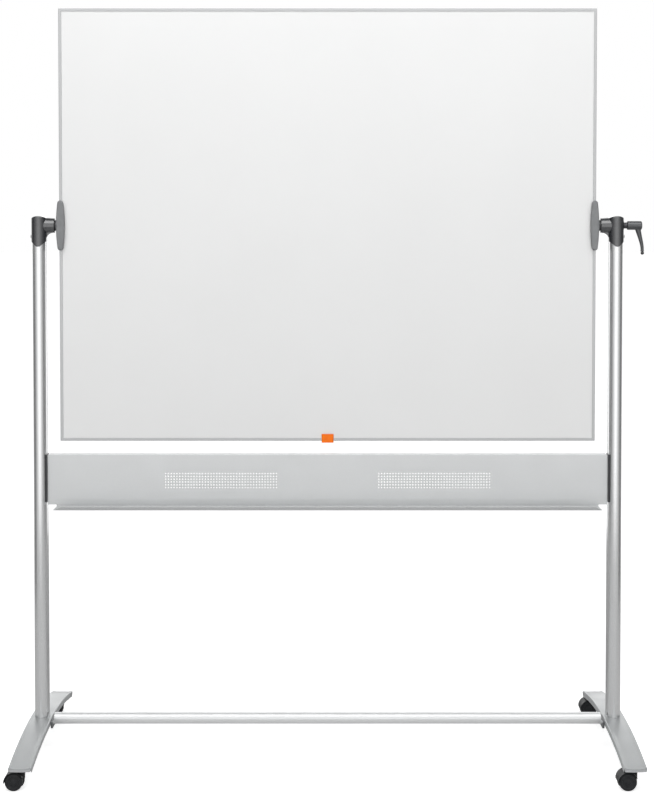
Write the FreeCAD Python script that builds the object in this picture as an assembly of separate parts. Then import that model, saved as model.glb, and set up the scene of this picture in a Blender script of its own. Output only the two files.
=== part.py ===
import FreeCAD, Part
import math
import os

from FreeCAD import Placement, Rotation, Vector

# A rolling whiteboard. A double-sided board turns end over end between two posts, which stand on
# two arched feet with casters. A perforated panel with a pen tray joins the posts below the board.
# The frame is in millimetres: +X to the right, +Y away from the user, +Z up. The origin is on the
# floor, midway between the posts and under the board's pivot axis.

# ---- Driving dimensions ----

BOARD_WIDTH = 1504.0
BOARD_HEIGHT = 1212.0
BOARD_DEPTH = 20.0
PIVOT_Z = 1487.0

RAIL_FACE = 8.0
RAIL_WALL = 1.4
RAIL_LIP = 1.5
SHEET_INSET = 4.8
SHEET_THICKNESS = 0.6

POST_X = 809.0
POST_WIDTH = 38.0
POST_DEPTH = 56.0
POST_WALL = 2.2
POST_BOTTOM_Z = 98.25
POST_TOP_Z = 1502.5
SCREW_PORT_Y = 20.0

FOOT_HALF_LENGTH = 335.0
FOOT_HALF_WIDTH = 30.5
FOOT_CROWN_Z = 99.7
FOOT_ARC_RADIUS = 1590.0
FOOT_FLANGE = 17.0
FOOT_WALL = 2.6
FOOT_DISH = 1.5

CASTER_Y = 304.0
CASTER_TRAIL = 18.0
WHEEL_RADIUS = 23.5
WHEEL_INNER_Y = 7.0
WHEEL_OUTER_Y = 22.0
HOOD_RADIUS = 26.5
HOOD_WALL = 2.0
AXLE_RADIUS = 3.0
STEM_RADIUS = 5.0
SOCKET_BOTTOM_Z = 54.3

CROSSBAR_RADIUS = 16.0
CROSSBAR_WALL = 2.0
CROSSBAR_Z = 90.0
CROSSBAR_PLATE = 5.0
CROSSBAR_BOLT_Y = 32.0
CROSSBAR_BOLT_Z = 88.5

SHEET_METAL = 1.2
PANEL_HALF_WIDTH = 788.0
PANEL_FRONT_Y = -15.2
PANEL_BOTTOM_Z = 701.6
PANEL_TOP_Z = 844.6
PANEL_CORNER = 5.0
PERFORATION = 3.1
PERFORATION_PITCH = 8.0
PERFORATION_COLUMNS = 40
PERFORATION_ROWS = 6
PERFORATION_FIRST_X = 144.0
PERFORATION_FIRST_Z = 749.5
SLOT_BOLT_Z = (725.0, 832.0)

TRAY_HALF_WIDTH = 763.5
TRAY_LIP_HALF_WIDTH = 738.0
TRAY_FRONT_Y = -80.0
TRAY_BOTTOM_Z = 695.7
TRAY_LIP_HEIGHT = 11.1

SLEEVE_WALL = 2.5
SLEEVE_BOTTOM_Z = 1443.0
SLEEVE_TONGUE_Z = 1428.0
SLEEVE_CROWN_Z = 1513.5
SLEEVE_CROWN_RADIUS = 45.0
ARM_END_X = 765.0
ARM_END_RADIUS = 20.5
ARM_ROOT_HALF_HEIGHT = 24.0
ARM_ROOT_HALF_DEPTH = 27.0
SET_SCREW_Z = 1456.0
SET_SCREW_DOME_RADIUS = 8.0
SET_SCREW_DOME_HEIGHT = 3.3

SADDLE_X = 748.0
SADDLE_HALF_HEIGHT = 70.0
SADDLE_HALF_THICKNESS = 12.0
SADDLE_END_HALF = 8.0
SADDLE_HALF_DEPTH = 22.0
SADDLE_SCREW_Z = 46.0
HUB_FACE_X = 762.2
SCREW_SEAT_X = 755.0
SHAFT_RADIUS = 7.0
SHAFT_CLEARANCE_RADIUS = 8.0
LEFT_SHAFT_END_X = 786.0
RIGHT_SHAFT_END_X = 826.0
STUD_RADIUS = 4.0
BUSH_RADIUS = 9.5

LEVER_NECK_X = 831.8
LEVER_HUB_X = 840.5
LEVER_END_X = 882.0
LEVER_HUB_RADIUS = 12.5
LEVER_REACH = 73.0

RUNNING_GAP = 0.06
BODY_GAP = 0.3

X_AXIS = Vector(1, 0, 0)
Y_AXIS = Vector(0, 1, 0)
Z_AXIS = Vector(0, 0, 1)

os.makedirs("parts", exist_ok=True)


# ---- Shape helpers ----

def box(x, y, z):
    """A box from three (low, high) pairs."""
    corner = Vector(x[0], y[0], z[0])
    return Part.makeBox(x[1] - x[0], y[1] - y[0], z[1] - z[0], corner)


def rod_x(radius, x, y=0.0, z=0.0):
    return Part.makeCylinder(radius, x[1] - x[0], Vector(x[0], y, z), X_AXIS)


def rod_y(radius, y, x=0.0, z=0.0):
    return Part.makeCylinder(radius, y[1] - y[0], Vector(x, y[0], z), Y_AXIS)


def rod_z(radius, z, x=0.0, y=0.0):
    return Part.makeCylinder(radius, z[1] - z[0], Vector(x, y, z[0]), Z_AXIS)


def prism(points, direction):
    """A polygon of Vectors, pushed along direction."""
    outline = Part.makePolygon(list(points) + [points[0]])
    return Part.Face(outline).extrude(direction)


def fuse(first, *others):
    return first.fuse(list(others)).removeSplitter()


def mirror_x(shape):
    """The same piece on the other side of the middle plane."""
    return shape.mirror(Vector(0, 0, 0), X_AXIS)


def stadium(width, depth, z, x=0.0):
    """An oval column: width across X, depth across Y, round front and back."""
    radius = width / 2
    straight = depth / 2 - radius
    column = box((x - radius, x + radius), (-straight, straight), z)
    for end_y in (-straight, straight):
        column = column.fuse(rod_z(radius, z, x, end_y))
    return column.removeSplitter()


def hexagon_x(across_flats, x, y, z):
    """A hexagonal nut's outline, pushed along X."""
    reach = across_flats / math.sqrt(3)
    corners = []
    for step in range(6):
        angle = math.radians(60 * step)
        corners.append(Vector(x[0], y + reach * math.cos(angle), z + reach * math.sin(angle)))
    return prism(corners, Vector(x[1] - x[0], 0, 0))


def save(name, shape):
    shape.exportStep("parts/" + name + ".step")


def save_group(name, solids):
    save(name, Part.makeCompound(solids))


# ---- Board ----

HALF_WIDTH = BOARD_WIDTH / 2
HALF_HEIGHT = BOARD_HEIGHT / 2
HALF_DEPTH = BOARD_DEPTH / 2
GROOVE_HALF = HALF_DEPTH - RAIL_LIP
SHEET_X = HALF_WIDTH - SHEET_INSET
SHEET_Z = HALF_HEIGHT - SHEET_INSET
SHEET_FACE_Y = GROOVE_HALF - 0.1
CHAMBER_X = HALF_WIDTH - RAIL_WALL
CHAMBER_Z = HALF_HEIGHT - RAIL_WALL


def about_pivot(half_height):
    return (PIVOT_Z - half_height, PIVOT_Z + half_height)


def writing_sheet(side):
    """A thin enamelled steel face. side is -1 for the front and +1 for the back."""
    faces = sorted((side * SHEET_FACE_Y, side * (SHEET_FACE_Y - SHEET_THICKNESS)))
    return box((-SHEET_X, SHEET_X), faces, about_pivot(SHEET_Z))


def board_core():
    half = SHEET_FACE_Y - SHEET_THICKNESS
    return box((-SHEET_X, SHEET_X), (-half, half), about_pivot(SHEET_Z))


def rail_ring():
    """The four rails before they are mitred: a U-section that opens towards the board."""
    outer = box((-HALF_WIDTH, HALF_WIDTH), (-HALF_DEPTH, HALF_DEPTH), about_pivot(HALF_HEIGHT))
    window_x = HALF_WIDTH - RAIL_FACE
    window = box((-window_x, window_x), (-HALF_DEPTH, HALF_DEPTH),
                 about_pivot(HALF_HEIGHT - RAIL_FACE))
    groove = box((-CHAMBER_X, CHAMBER_X), (-GROOVE_HALF, GROOVE_HALF), about_pivot(CHAMBER_Z))
    return outer.cut(window).cut(groove)


def mitre_wedge(along, side):
    """The part of space that one rail keeps: its corners are cut at 45 degrees."""
    inner = HALF_HEIGHT - 100
    overhang = 5.0
    depth = Vector(0, BOARD_DEPTH + 2 * overhang, 0)
    low_y = -HALF_DEPTH - overhang
    far_x = HALF_WIDTH + overhang
    far_z = HALF_HEIGHT + overhang
    near_x = far_x - (far_z - inner)
    if along == "x":
        corners = [(-far_x, far_z), (far_x, far_z), (near_x, inner), (-near_x, inner)]
        points = [Vector(x, low_y, PIVOT_Z + side * z) for x, z in corners]
    else:
        slope = far_x - near_x
        corners = [(far_x, -far_z), (far_x, far_z), (far_x - slope, far_z - slope),
                   (far_x - slope, slope - far_z)]
        points = [Vector(side * x, low_y, PIVOT_Z + z) for x, z in corners]
    return prism(points, depth)


def side_rail_holes(side):
    """Where the pivot shaft and the two saddle screws pass through a side rail."""
    ends = sorted((side * (CHAMBER_X - 1), side * (HALF_WIDTH + 1)))
    cutters = [rod_x(SHAFT_RADIUS + 0.2, ends, 0, PIVOT_Z)]
    for offset in (-SADDLE_SCREW_Z, SADDLE_SCREW_Z):
        cutters.append(rod_x(2.7, ends, 0, PIVOT_Z + offset))
    return cutters


def corner_keys():
    """Four L-shaped keys that hold the mitres together, in the rails' inner chamber."""
    thickness = 2.6
    leg = 45.0
    half_width = 7.0
    clearance = 0.3
    keys = []
    for side_x in (-1, 1):
        for side_z in (-1, 1):
            far_x = CHAMBER_X - clearance
            far_z = CHAMBER_Z - clearance
            across = sorted((side_x * far_x, side_x * (far_x - thickness)))
            along = sorted((side_x * far_x, side_x * (far_x - leg)))
            up = sorted((PIVOT_Z + side_z * far_z, PIVOT_Z + side_z * (far_z - leg)))
            flat = sorted((PIVOT_Z + side_z * far_z, PIVOT_Z + side_z * (far_z - thickness)))
            upright = box(across, (-half_width, half_width), up)
            level = box(along, (-half_width, half_width), flat)
            keys.append(fuse(upright, level))
    return keys


def frame_clip():
    """A U-shaped plastic clip over the middle of the bottom rail, with bevelled sides."""
    half_width = 16.8
    wall = 3.0
    gap = 0.1
    bevel = 2.5
    bottom = PIVOT_Z - HALF_HEIGHT - 5.0
    top = PIVOT_Z - HALF_HEIGHT + 19.5
    outer_y = HALF_DEPTH + gap + wall
    body = box((-half_width, half_width), (-outer_y, outer_y), (bottom, top))
    upright_edges = [e for e in body.Edges
                     if abs(e.Vertexes[0].Z - e.Vertexes[1].Z) > 1]
    body = body.makeChamfer(bevel, upright_edges)
    slot = box((-half_width, half_width), (-HALF_DEPTH - gap, HALF_DEPTH + gap),
               (PIVOT_Z - HALF_HEIGHT - gap, top))
    return body.cut(slot)


# ---- Pivots, made for the right side and mirrored for the left ----

def saddle_outline():
    """A slim lens: two long arcs, joined at top and bottom by small arcs tangent to them."""
    bulge = SADDLE_HALF_THICKNESS - SADDLE_END_HALF
    shoulder = SADDLE_HALF_HEIGHT - SADDLE_END_HALF + 1
    long_radius = (shoulder ** 2 + bulge ** 2) / (2 * bulge)
    lean = math.asin(shoulder / long_radius)
    end_radius = SADDLE_END_HALF / math.cos(lean)
    crest = shoulder + end_radius * (1 - math.sin(lean))

    def arc(*ends):
        points = [Vector(SADDLE_X + dx, -SADDLE_HALF_DEPTH, PIVOT_Z + dz) for dx, dz in ends]
        return Part.Arc(*points).toShape()

    end = SADDLE_END_HALF
    middle = SADDLE_HALF_THICKNESS
    return Part.Wire([
        arc((end, -shoulder), (middle, 0), (end, shoulder)),
        arc((end, shoulder), (0, crest), (-end, shoulder)),
        arc((-end, shoulder), (-middle, 0), (-end, -shoulder)),
        arc((-end, -shoulder), (0, -crest), (end, -shoulder)),
    ])


def pivot_saddle():
    """A lens-shaped moulding that straddles the side rail and carries the pivot shaft."""
    body = Part.Face(saddle_outline()).extrude(Vector(0, 2 * SADDLE_HALF_DEPTH, 0))
    rim = [e for e in body.Edges
           if abs(e.BoundBox.YMin - e.BoundBox.YMax) < 0.01 and e.Length > 5]
    body = body.makeFillet(4.0, rim)
    body = fuse(body, rod_x(17.0, (HALF_WIDTH + 1, HUB_FACE_X), 0, PIVOT_Z))
    gap = 0.1
    slot = box((SADDLE_X - 20, HALF_WIDTH + gap), (-HALF_DEPTH - gap, HALF_DEPTH + gap),
               about_pivot(SADDLE_HALF_HEIGHT + 5))
    body = body.cut(slot)
    body = body.cut(rod_x(SHAFT_RADIUS + 0.05, (HALF_WIDTH - 2, HUB_FACE_X + 1), 0, PIVOT_Z))
    for offset in (-SADDLE_SCREW_Z, SADDLE_SCREW_Z):
        body = body.cut(rod_x(2.7, (HALF_WIDTH - 2, HUB_FACE_X), 0, PIVOT_Z + offset))
        body = body.cut(rod_x(5.0, (SCREW_SEAT_X, HUB_FACE_X), 0, PIVOT_Z + offset))
    return body




def saddle_screws(side):
    """Two button-head screws that pull the saddle against the shaft's inner plate."""
    screws = []
    for offset in (-SADDLE_SCREW_Z, SADDLE_SCREW_Z):
        shank = sorted((side * (CHAMBER_X - 2.8), side * SCREW_SEAT_X))
        head = sorted((side * SCREW_SEAT_X, side * (SCREW_SEAT_X + 2.4)))
        screws.append(fuse(rod_x(2.45, shank, 0, PIVOT_Z + offset),
                           rod_x(4.6, head, 0, PIVOT_Z + offset)))
    return screws


def pivot_shaft(end_x, threaded):
    """A steel shaft on a plate that lies inside the side rail."""
    plate = box((CHAMBER_X - 2.6, CHAMBER_X - 0.1), (-7.0, 7.0), about_pivot(58.0))
    shaft = fuse(plate, rod_x(SHAFT_RADIUS, (CHAMBER_X - 2.6, end_x), 0, PIVOT_Z))
    for offset in (-SADDLE_SCREW_Z, SADDLE_SCREW_Z):
        shaft = shaft.cut(rod_x(2.5, (CHAMBER_X - 5, CHAMBER_X + 1), 0, PIVOT_Z + offset))
    if threaded:
        shaft = shaft.cut(rod_x(STUD_RADIUS + 0.1, (end_x - 22, end_x + 1), 0, PIVOT_Z))
    return shaft




def pivot_bush():
    """A plain plastic bush in the bracket's arm, with a flange against the saddle's hub."""
    flange = rod_x(15.0, (HUB_FACE_X + BODY_GAP, ARM_END_X), 0, PIVOT_Z)
    sleeve = rod_x(BUSH_RADIUS, (ARM_END_X, POST_X - POST_WIDTH / 2 - 3.0), 0, PIVOT_Z)
    bore = rod_x(SHAFT_RADIUS + RUNNING_GAP, (HUB_FACE_X, POST_X), 0, PIVOT_Z)
    return fuse(flange, sleeve).cut(bore)


def pivot_bracket(with_lever):
    """A cast sleeve over the post's top, with a tapered level arm and a gusset under it."""
    outer_width = POST_WIDTH + 2 * SLEEVE_WALL
    outer_depth = POST_DEPTH + 2 * SLEEVE_WALL
    heights = (SLEEVE_TONGUE_Z, SLEEVE_CROWN_Z)
    sleeve = stadium(outer_width, outer_depth, heights, POST_X)
    half = outer_width / 2
    over = box((POST_X - half - 1, POST_X + half + 1), (-outer_depth, outer_depth),
               (SLEEVE_CROWN_Z - 9, SLEEVE_CROWN_Z + 1))
    over = over.cut(rod_y(SLEEVE_CROWN_RADIUS, (-outer_depth - 1, outer_depth + 1), POST_X,
                          SLEEVE_CROWN_Z - SLEEVE_CROWN_RADIUS))
    sleeve = sleeve.cut(over)
    crown_edges = [e for e in sleeve.Edges if e.BoundBox.ZMin > SLEEVE_CROWN_Z - 9]
    sleeve = sleeve.makeFillet(3.5, crown_edges)

    front = -outer_depth / 2 - 1
    below = SLEEVE_TONGUE_Z - 5
    tongue_half = 4.5
    trim_side = [(half + 1, SLEEVE_BOTTOM_Z), (tongue_half, SLEEVE_TONGUE_Z),
                 (tongue_half, below), (half + 1, below)]
    for side in (-1, 1):
        corners = [Vector(POST_X + side * u, front, z) for u, z in trim_side]
        sleeve = sleeve.cut(prism(corners, Vector(0, outer_depth + 2, 0)))

    arm_end = Part.Circle(Vector(ARM_END_X, 0, PIVOT_Z), X_AXIS, ARM_END_RADIUS)
    arm_root = Part.Ellipse(Vector(POST_X, ARM_ROOT_HALF_DEPTH, PIVOT_Z),
                            Vector(POST_X, 0, PIVOT_Z + ARM_ROOT_HALF_HEIGHT),
                            Vector(POST_X, 0, PIVOT_Z))
    arm = Part.makeLoft([Part.Wire(arm_end.toShape()), Part.Wire(arm_root.toShape())], True)
    arm = arm.makeFillet(1.5, [e for e in arm.Edges if e.BoundBox.XMax < ARM_END_X + 0.01])
    root_x = POST_X - half
    gusset_half = 12.0
    start = Vector(ARM_END_X + 3, -gusset_half, PIVOT_Z - ARM_END_RADIUS - 0.5)
    middle = Vector(root_x - 7.5, -gusset_half, PIVOT_Z - ARM_END_RADIUS - 4)
    foot = Vector(root_x + 1, -gusset_half, SLEEVE_BOTTOM_Z + 3)
    curve = Part.Arc(start, middle, foot).toShape()
    back = Part.makePolygon([foot, Vector(POST_X, -gusset_half, SLEEVE_BOTTOM_Z + 3),
                             Vector(POST_X, -gusset_half, PIVOT_Z),
                             Vector(ARM_END_X + 3, -gusset_half, PIVOT_Z), start])
    gusset = Part.Face(Part.Wire([curve] + back.Edges)).extrude(Vector(0, 2 * gusset_half, 0))
    body = fuse(sleeve, arm, gusset)
    if with_lever:
        boss = rod_x(12.0, (POST_X, LEVER_NECK_X - BODY_GAP), 0, PIVOT_Z)
        body = fuse(body, boss)

    inside = stadium(POST_WIDTH + 0.3, POST_DEPTH + 0.3, (SLEEVE_TONGUE_Z - 1, POST_TOP_Z + 0.5),
                     POST_X)
    body = body.cut(inside)
    body = body.cut(rod_x(BUSH_RADIUS + 0.02, (ARM_END_X - 1, POST_X), 0, PIVOT_Z))
    if with_lever:
        body = body.cut(rod_x(SHAFT_CLEARANCE_RADIUS, (POST_X, LEVER_NECK_X + 1), 0, PIVOT_Z))
    return body.cut(rod_x(3.05, (POST_X, POST_X + half + 1), 0, SET_SCREW_Z))




def set_screws():
    """One dome-head screw in each sleeve's outer wall, tight against the post."""
    post_face = POST_X + POST_WIDTH / 2
    sleeve_face = post_face + SLEEVE_WALL
    screws = []
    for side in (-1, 1):
        shank = sorted((side * (post_face + 0.2), side * (sleeve_face + 0.1)))
        screw = rod_x(3.0, shank, 0, SET_SCREW_Z)
        dome_x = side * (sleeve_face + SET_SCREW_DOME_HEIGHT - SET_SCREW_DOME_RADIUS)
        dome = Part.makeSphere(SET_SCREW_DOME_RADIUS, Vector(dome_x, 0, SET_SCREW_Z))
        outside = sorted((side * (sleeve_face + 0.1), side * (sleeve_face + 10)))
        dome = dome.common(box(outside, (-9, 9), (SET_SCREW_Z - 9, SET_SCREW_Z + 9)))
        screws.append(fuse(screw, dome))
    return screws


# ---- Posts ----

SLOT_MOUTH_HALF = 3.6
SLOT_MOUTH_DEPTH = 2.0
SLOT_HALF = 6.5
SLOT_DEPTH = 8.0
SLOT_WALL = 1.8


def post(with_shaft_hole):
    """An oval extrusion, hollow, with a T-slot down its inner side and two screw ports."""
    heights = (POST_BOTTOM_Z, POST_TOP_Z)
    tall = (POST_BOTTOM_Z - 1, POST_TOP_Z + 1)
    inner_x = POST_X - POST_WIDTH / 2
    slot_block = box((inner_x - 1, inner_x + SLOT_DEPTH + SLOT_WALL),
                     (-SLOT_HALF - SLOT_WALL, SLOT_HALF + SLOT_WALL), tall)
    hollow = stadium(POST_WIDTH - 2 * POST_WALL, POST_DEPTH - 2 * POST_WALL, tall, POST_X)
    hollow = hollow.cut(slot_block)
    for port_y in (-SCREW_PORT_Y, SCREW_PORT_Y):
        hollow = hollow.cut(rod_z(6.6, tall, POST_X, port_y))
    body = stadium(POST_WIDTH, POST_DEPTH, heights, POST_X).cut(hollow)
    for port_y in (-SCREW_PORT_Y, SCREW_PORT_Y):
        body = body.cut(rod_z(4.05, tall, POST_X, port_y))
    body = body.cut(box((inner_x - 1, inner_x + SLOT_MOUTH_DEPTH + 0.1),
                        (-SLOT_MOUTH_HALF, SLOT_MOUTH_HALF), tall))
    body = body.cut(box((inner_x + SLOT_MOUTH_DEPTH, inner_x + SLOT_DEPTH),
                        (-SLOT_HALF, SLOT_HALF), tall))
    if with_shaft_hole:
        across = (inner_x - 1, POST_X + POST_WIDTH / 2 + 1)
        body = body.cut(rod_x(SHAFT_CLEARANCE_RADIUS, across, 0, PIVOT_Z))
    return body


def post_bolts():
    """Two bolts under each foot that run up into the post's screw ports."""
    bolts = []
    head_top = FOOT_CROWN_Z - FOOT_DISH - FOOT_WALL - 0.4
    for side in (-1, 1):
        for port_y in (-SCREW_PORT_Y, SCREW_PORT_Y):
            head = rod_z(6.5, (head_top - 5, head_top), side * POST_X, port_y)
            shank = rod_z(4.0, (head_top, POST_BOTTOM_Z + 30), side * POST_X, port_y)
            bolts.append(fuse(head, shank))
    return bolts


# ---- Feet ----

ARC_AXIS_Z = FOOT_CROWN_Z - FOOT_ARC_RADIUS
FOOT_HALF_ANGLE = 12.4
BEAD_RADIUS = 3.0


def swept_foot(profile_edges):
    """A cross-section at the middle of the foot, swept to both ends along the arch."""
    face = Part.Face(Part.Wire(profile_edges))
    start = face.copy()
    axis_point = Vector(0, 0, ARC_AXIS_Z)
    start.rotate(axis_point, X_AXIS, -FOOT_HALF_ANGLE)
    return start.revolve(axis_point, X_AXIS, 2 * FOOT_HALF_ANGLE)


def foot_profile():
    """The channel's section: a dished web, a rounded bead along each edge, and two flanges."""
    def point(u, w):
        return Vector(POST_X + u, 0, FOOT_CROWN_Z + w)

    half = FOOT_HALF_WIDTH
    inside = half - FOOT_WALL
    bead = half - BEAD_RADIUS
    bend = BEAD_RADIUS * (1 - math.sqrt(0.5))
    web_under = -FOOT_DISH - FOOT_WALL
    dish_start = 20.0

    def line(a, b):
        return Part.LineSegment(point(*a), point(*b)).toShape()

    def arc(a, b, c):
        return Part.Arc(point(*a), point(*b), point(*c)).toShape()

    return [
        line((-half, -FOOT_FLANGE), (-half, -BEAD_RADIUS)),
        arc((-half, -BEAD_RADIUS), (bend - half, -bend), (-bead, 0)),
        arc((-bead, 0), (-24.6, -0.35), (-dish_start, -FOOT_DISH)),
        line((-dish_start, -FOOT_DISH), (dish_start, -FOOT_DISH)),
        arc((dish_start, -FOOT_DISH), (24.6, -0.35), (bead, 0)),
        arc((bead, 0), (half - bend, -bend), (half, -BEAD_RADIUS)),
        line((half, -BEAD_RADIUS), (half, -FOOT_FLANGE)),
        line((half, -FOOT_FLANGE), (inside, -FOOT_FLANGE)),
        line((inside, -FOOT_FLANGE), (inside, web_under)),
        line((inside, web_under), (-inside, web_under)),
        line((-inside, web_under), (-inside, -FOOT_FLANGE)),
        line((-inside, -FOOT_FLANGE), (-half, -FOOT_FLANGE)),
    ]


def foot_plan():
    """The foot seen from above: straight sides and gently bowed ends."""
    half = FOOT_HALF_WIDTH + 1
    corner_y = FOOT_HALF_LENGTH - 4
    corners = [(-half, -corner_y), (half, -corner_y), (half, corner_y), (-half, corner_y)]
    points = [Vector(POST_X + u, v, 0) for u, v in corners]
    edges = [
        Part.Arc(points[0], Vector(POST_X, -FOOT_HALF_LENGTH, 0), points[1]).toShape(),
        Part.LineSegment(points[1], points[2]).toShape(),
        Part.Arc(points[2], Vector(POST_X, FOOT_HALF_LENGTH, 0), points[3]).toShape(),
        Part.LineSegment(points[3], points[0]).toShape(),
    ]
    return Part.Face(Part.Wire(edges)).extrude(Vector(0, 0, 150))


def foot():
    """An arched inverted channel with holes for the post bolts and the crossbar bolts."""
    body = swept_foot(foot_profile()).common(foot_plan())
    flange_setback = 10.0
    for end in (-1, 1):
        low = Vector(POST_X - 40, end * (FOOT_HALF_LENGTH - 4 - flange_setback), 40)
        out = Vector(POST_X - 40, end * (FOOT_HALF_LENGTH + 2), 40)
        top = Vector(POST_X - 40, end * (FOOT_HALF_LENGTH + 2), 60)
        body = body.cut(prism([low, out, top], Vector(80, 0, 0)))
    for port_y in (-SCREW_PORT_Y, SCREW_PORT_Y):
        body = body.cut(rod_z(4.3, (80, 110), POST_X, port_y))
    flange = (POST_X - FOOT_HALF_WIDTH - 1, POST_X - FOOT_HALF_WIDTH + FOOT_WALL + 1)
    for bolt_y in (-CROSSBAR_BOLT_Y, CROSSBAR_BOLT_Y):
        body = body.cut(rod_x(4.0, flange, bolt_y, CROSSBAR_BOLT_Z))
    return body


def end_socket(side_x, side_y):
    """A moulding that closes one end of a foot and holds the caster's stem."""
    gap = 0.15
    half = FOOT_HALF_WIDTH - FOOT_WALL - gap
    inner_y = CASTER_Y - 26.0
    outer_y = FOOT_HALF_LENGTH - 0.6
    block = box((POST_X - half, POST_X + half), sorted((side_y * inner_y, side_y * outer_y)),
                (SOCKET_BOTTOM_Z, FOOT_CROWN_Z))
    under_web = FOOT_ARC_RADIUS - FOOT_DISH - FOOT_WALL - gap
    arch = Part.makeCylinder(under_web, 2 * half, Vector(POST_X - half, 0, ARC_AXIS_Z), X_AXIS)
    block = block.common(arch).common(foot_plan())
    bore = rod_z(STEM_RADIUS + RUNNING_GAP, (SOCKET_BOTTOM_Z - 1, FOOT_CROWN_Z),
                 POST_X, side_y * CASTER_Y)
    block = block.cut(bore)
    return block if side_x > 0 else mirror_x(block)


# ---- Crossbar ----

FOOT_INNER_X = POST_X - FOOT_HALF_WIDTH
PLATE_INNER_X = FOOT_INNER_X - CROSSBAR_PLATE


def crossbar():
    ends = (-PLATE_INNER_X, PLATE_INNER_X)
    tube = rod_x(CROSSBAR_RADIUS, ends, 0, CROSSBAR_Z)
    return tube.cut(rod_x(CROSSBAR_RADIUS - CROSSBAR_WALL, ends, 0, CROSSBAR_Z))


def crossbar_plate():
    """A plate with rounded corners, bolted to the foot's inner flange."""
    plate = box((PLATE_INNER_X, FOOT_INNER_X), (-44, 44), (72, 97))
    corners = [e for e in plate.Edges if abs(e.Vertexes[0].X - e.Vertexes[1].X) > 1]
    plate = plate.makeFillet(8.0, corners)
    for bolt_y in (-CROSSBAR_BOLT_Y, CROSSBAR_BOLT_Y):
        plate = plate.cut(rod_x(4.0, (PLATE_INNER_X - 1, FOOT_INNER_X + 1), bolt_y,
                                CROSSBAR_BOLT_Z))
    return plate


def crossbar_bolts():
    bolts = []
    for side in (-1, 1):
        for bolt_y in (-CROSSBAR_BOLT_Y, CROSSBAR_BOLT_Y):
            head = sorted((side * (PLATE_INNER_X - 3), side * PLATE_INNER_X))
            shank = sorted((side * PLATE_INNER_X, side * (FOOT_INNER_X + 8)))
            nut = sorted((side * (FOOT_INNER_X + FOOT_WALL), side * (FOOT_INNER_X + 7)))
            bolts.append(fuse(rod_x(5.5, head, bolt_y, CROSSBAR_BOLT_Z),
                              rod_x(3.9, shank, bolt_y, CROSSBAR_BOLT_Z),
                              hexagon_x(11.0, nut, bolt_y, CROSSBAR_BOLT_Z)))
    return bolts


# ---- Panel and pen tray ----

PANEL_BACK_Y = PANEL_FRONT_Y + SHEET_METAL
STUD_ROW_Z = 716.0
TRAY_STUD_X = (-600, -360, -120, 120, 360, 600)
BRACKET_STUD_X = 774.0
BRACKET_STUD_Z = (735.0, 815.0)


def fascia_panel():
    """A folded sheet with a return along its top and two perforated zones."""
    half = PANEL_HALF_WIDTH
    sheet = box((-half, half), (PANEL_FRONT_Y, PANEL_BACK_Y), (PANEL_BOTTOM_Z, PANEL_TOP_Z))
    top_corners = [e for e in sheet.Edges
                   if abs(e.Vertexes[0].Y - e.Vertexes[1].Y) > 1
                   and e.Vertexes[0].Z > PANEL_TOP_Z - 1]
    sheet = sheet.makeFillet(PANEL_CORNER, top_corners)
    return_half = half - PANEL_CORNER
    top_return = box((-return_half, return_half), (PANEL_FRONT_Y, 8.0),
                     (PANEL_TOP_Z - SHEET_METAL, PANEL_TOP_Z))
    body = fuse(sheet, top_return)
    holes = []
    for side in (-1, 1):
        for column in range(PERFORATION_COLUMNS):
            centre_x = side * (PERFORATION_FIRST_X + column * PERFORATION_PITCH)
            for row in range(PERFORATION_ROWS):
                centre_z = PERFORATION_FIRST_Z + row * PERFORATION_PITCH
                half_hole = PERFORATION / 2
                holes.append(box((centre_x - half_hole, centre_x + half_hole),
                                 (PANEL_FRONT_Y - 1, PANEL_BACK_Y + 1),
                                 (centre_z - half_hole, centre_z + half_hole)))
    return body.cut(Part.makeCompound(holes))


def pen_tray():
    """A folded sheet: a rear flange behind the panel, a floor, and a front lip with cut corners."""
    lip_top = TRAY_BOTTOM_Z + TRAY_LIP_HEIGHT
    floor_top = TRAY_BOTTOM_Z + SHEET_METAL
    half = TRAY_HALF_WIDTH
    rear_y = PANEL_BACK_Y + SHEET_METAL
    floor = box((-half, half), (TRAY_FRONT_Y, rear_y), (TRAY_BOTTOM_Z, floor_top))
    outline = [(-half, TRAY_BOTTOM_Z), (half, TRAY_BOTTOM_Z), (half, floor_top),
               (TRAY_LIP_HALF_WIDTH, lip_top), (-TRAY_LIP_HALF_WIDTH, lip_top), (-half, floor_top)]
    lip = prism([Vector(x, TRAY_FRONT_Y, z) for x, z in outline], Vector(0, SHEET_METAL, 0))
    rear = box((-half + 4, half - 4), (PANEL_BACK_Y, rear_y), (TRAY_BOTTOM_Z, STUD_ROW_Z + 9))
    body = fuse(floor, lip, rear)
    for stud_x in TRAY_STUD_X:
        body = body.cut(rod_y(2.1, (PANEL_BACK_Y - 1, rear_y + 1), stud_x, STUD_ROW_Z))
    return body


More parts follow.
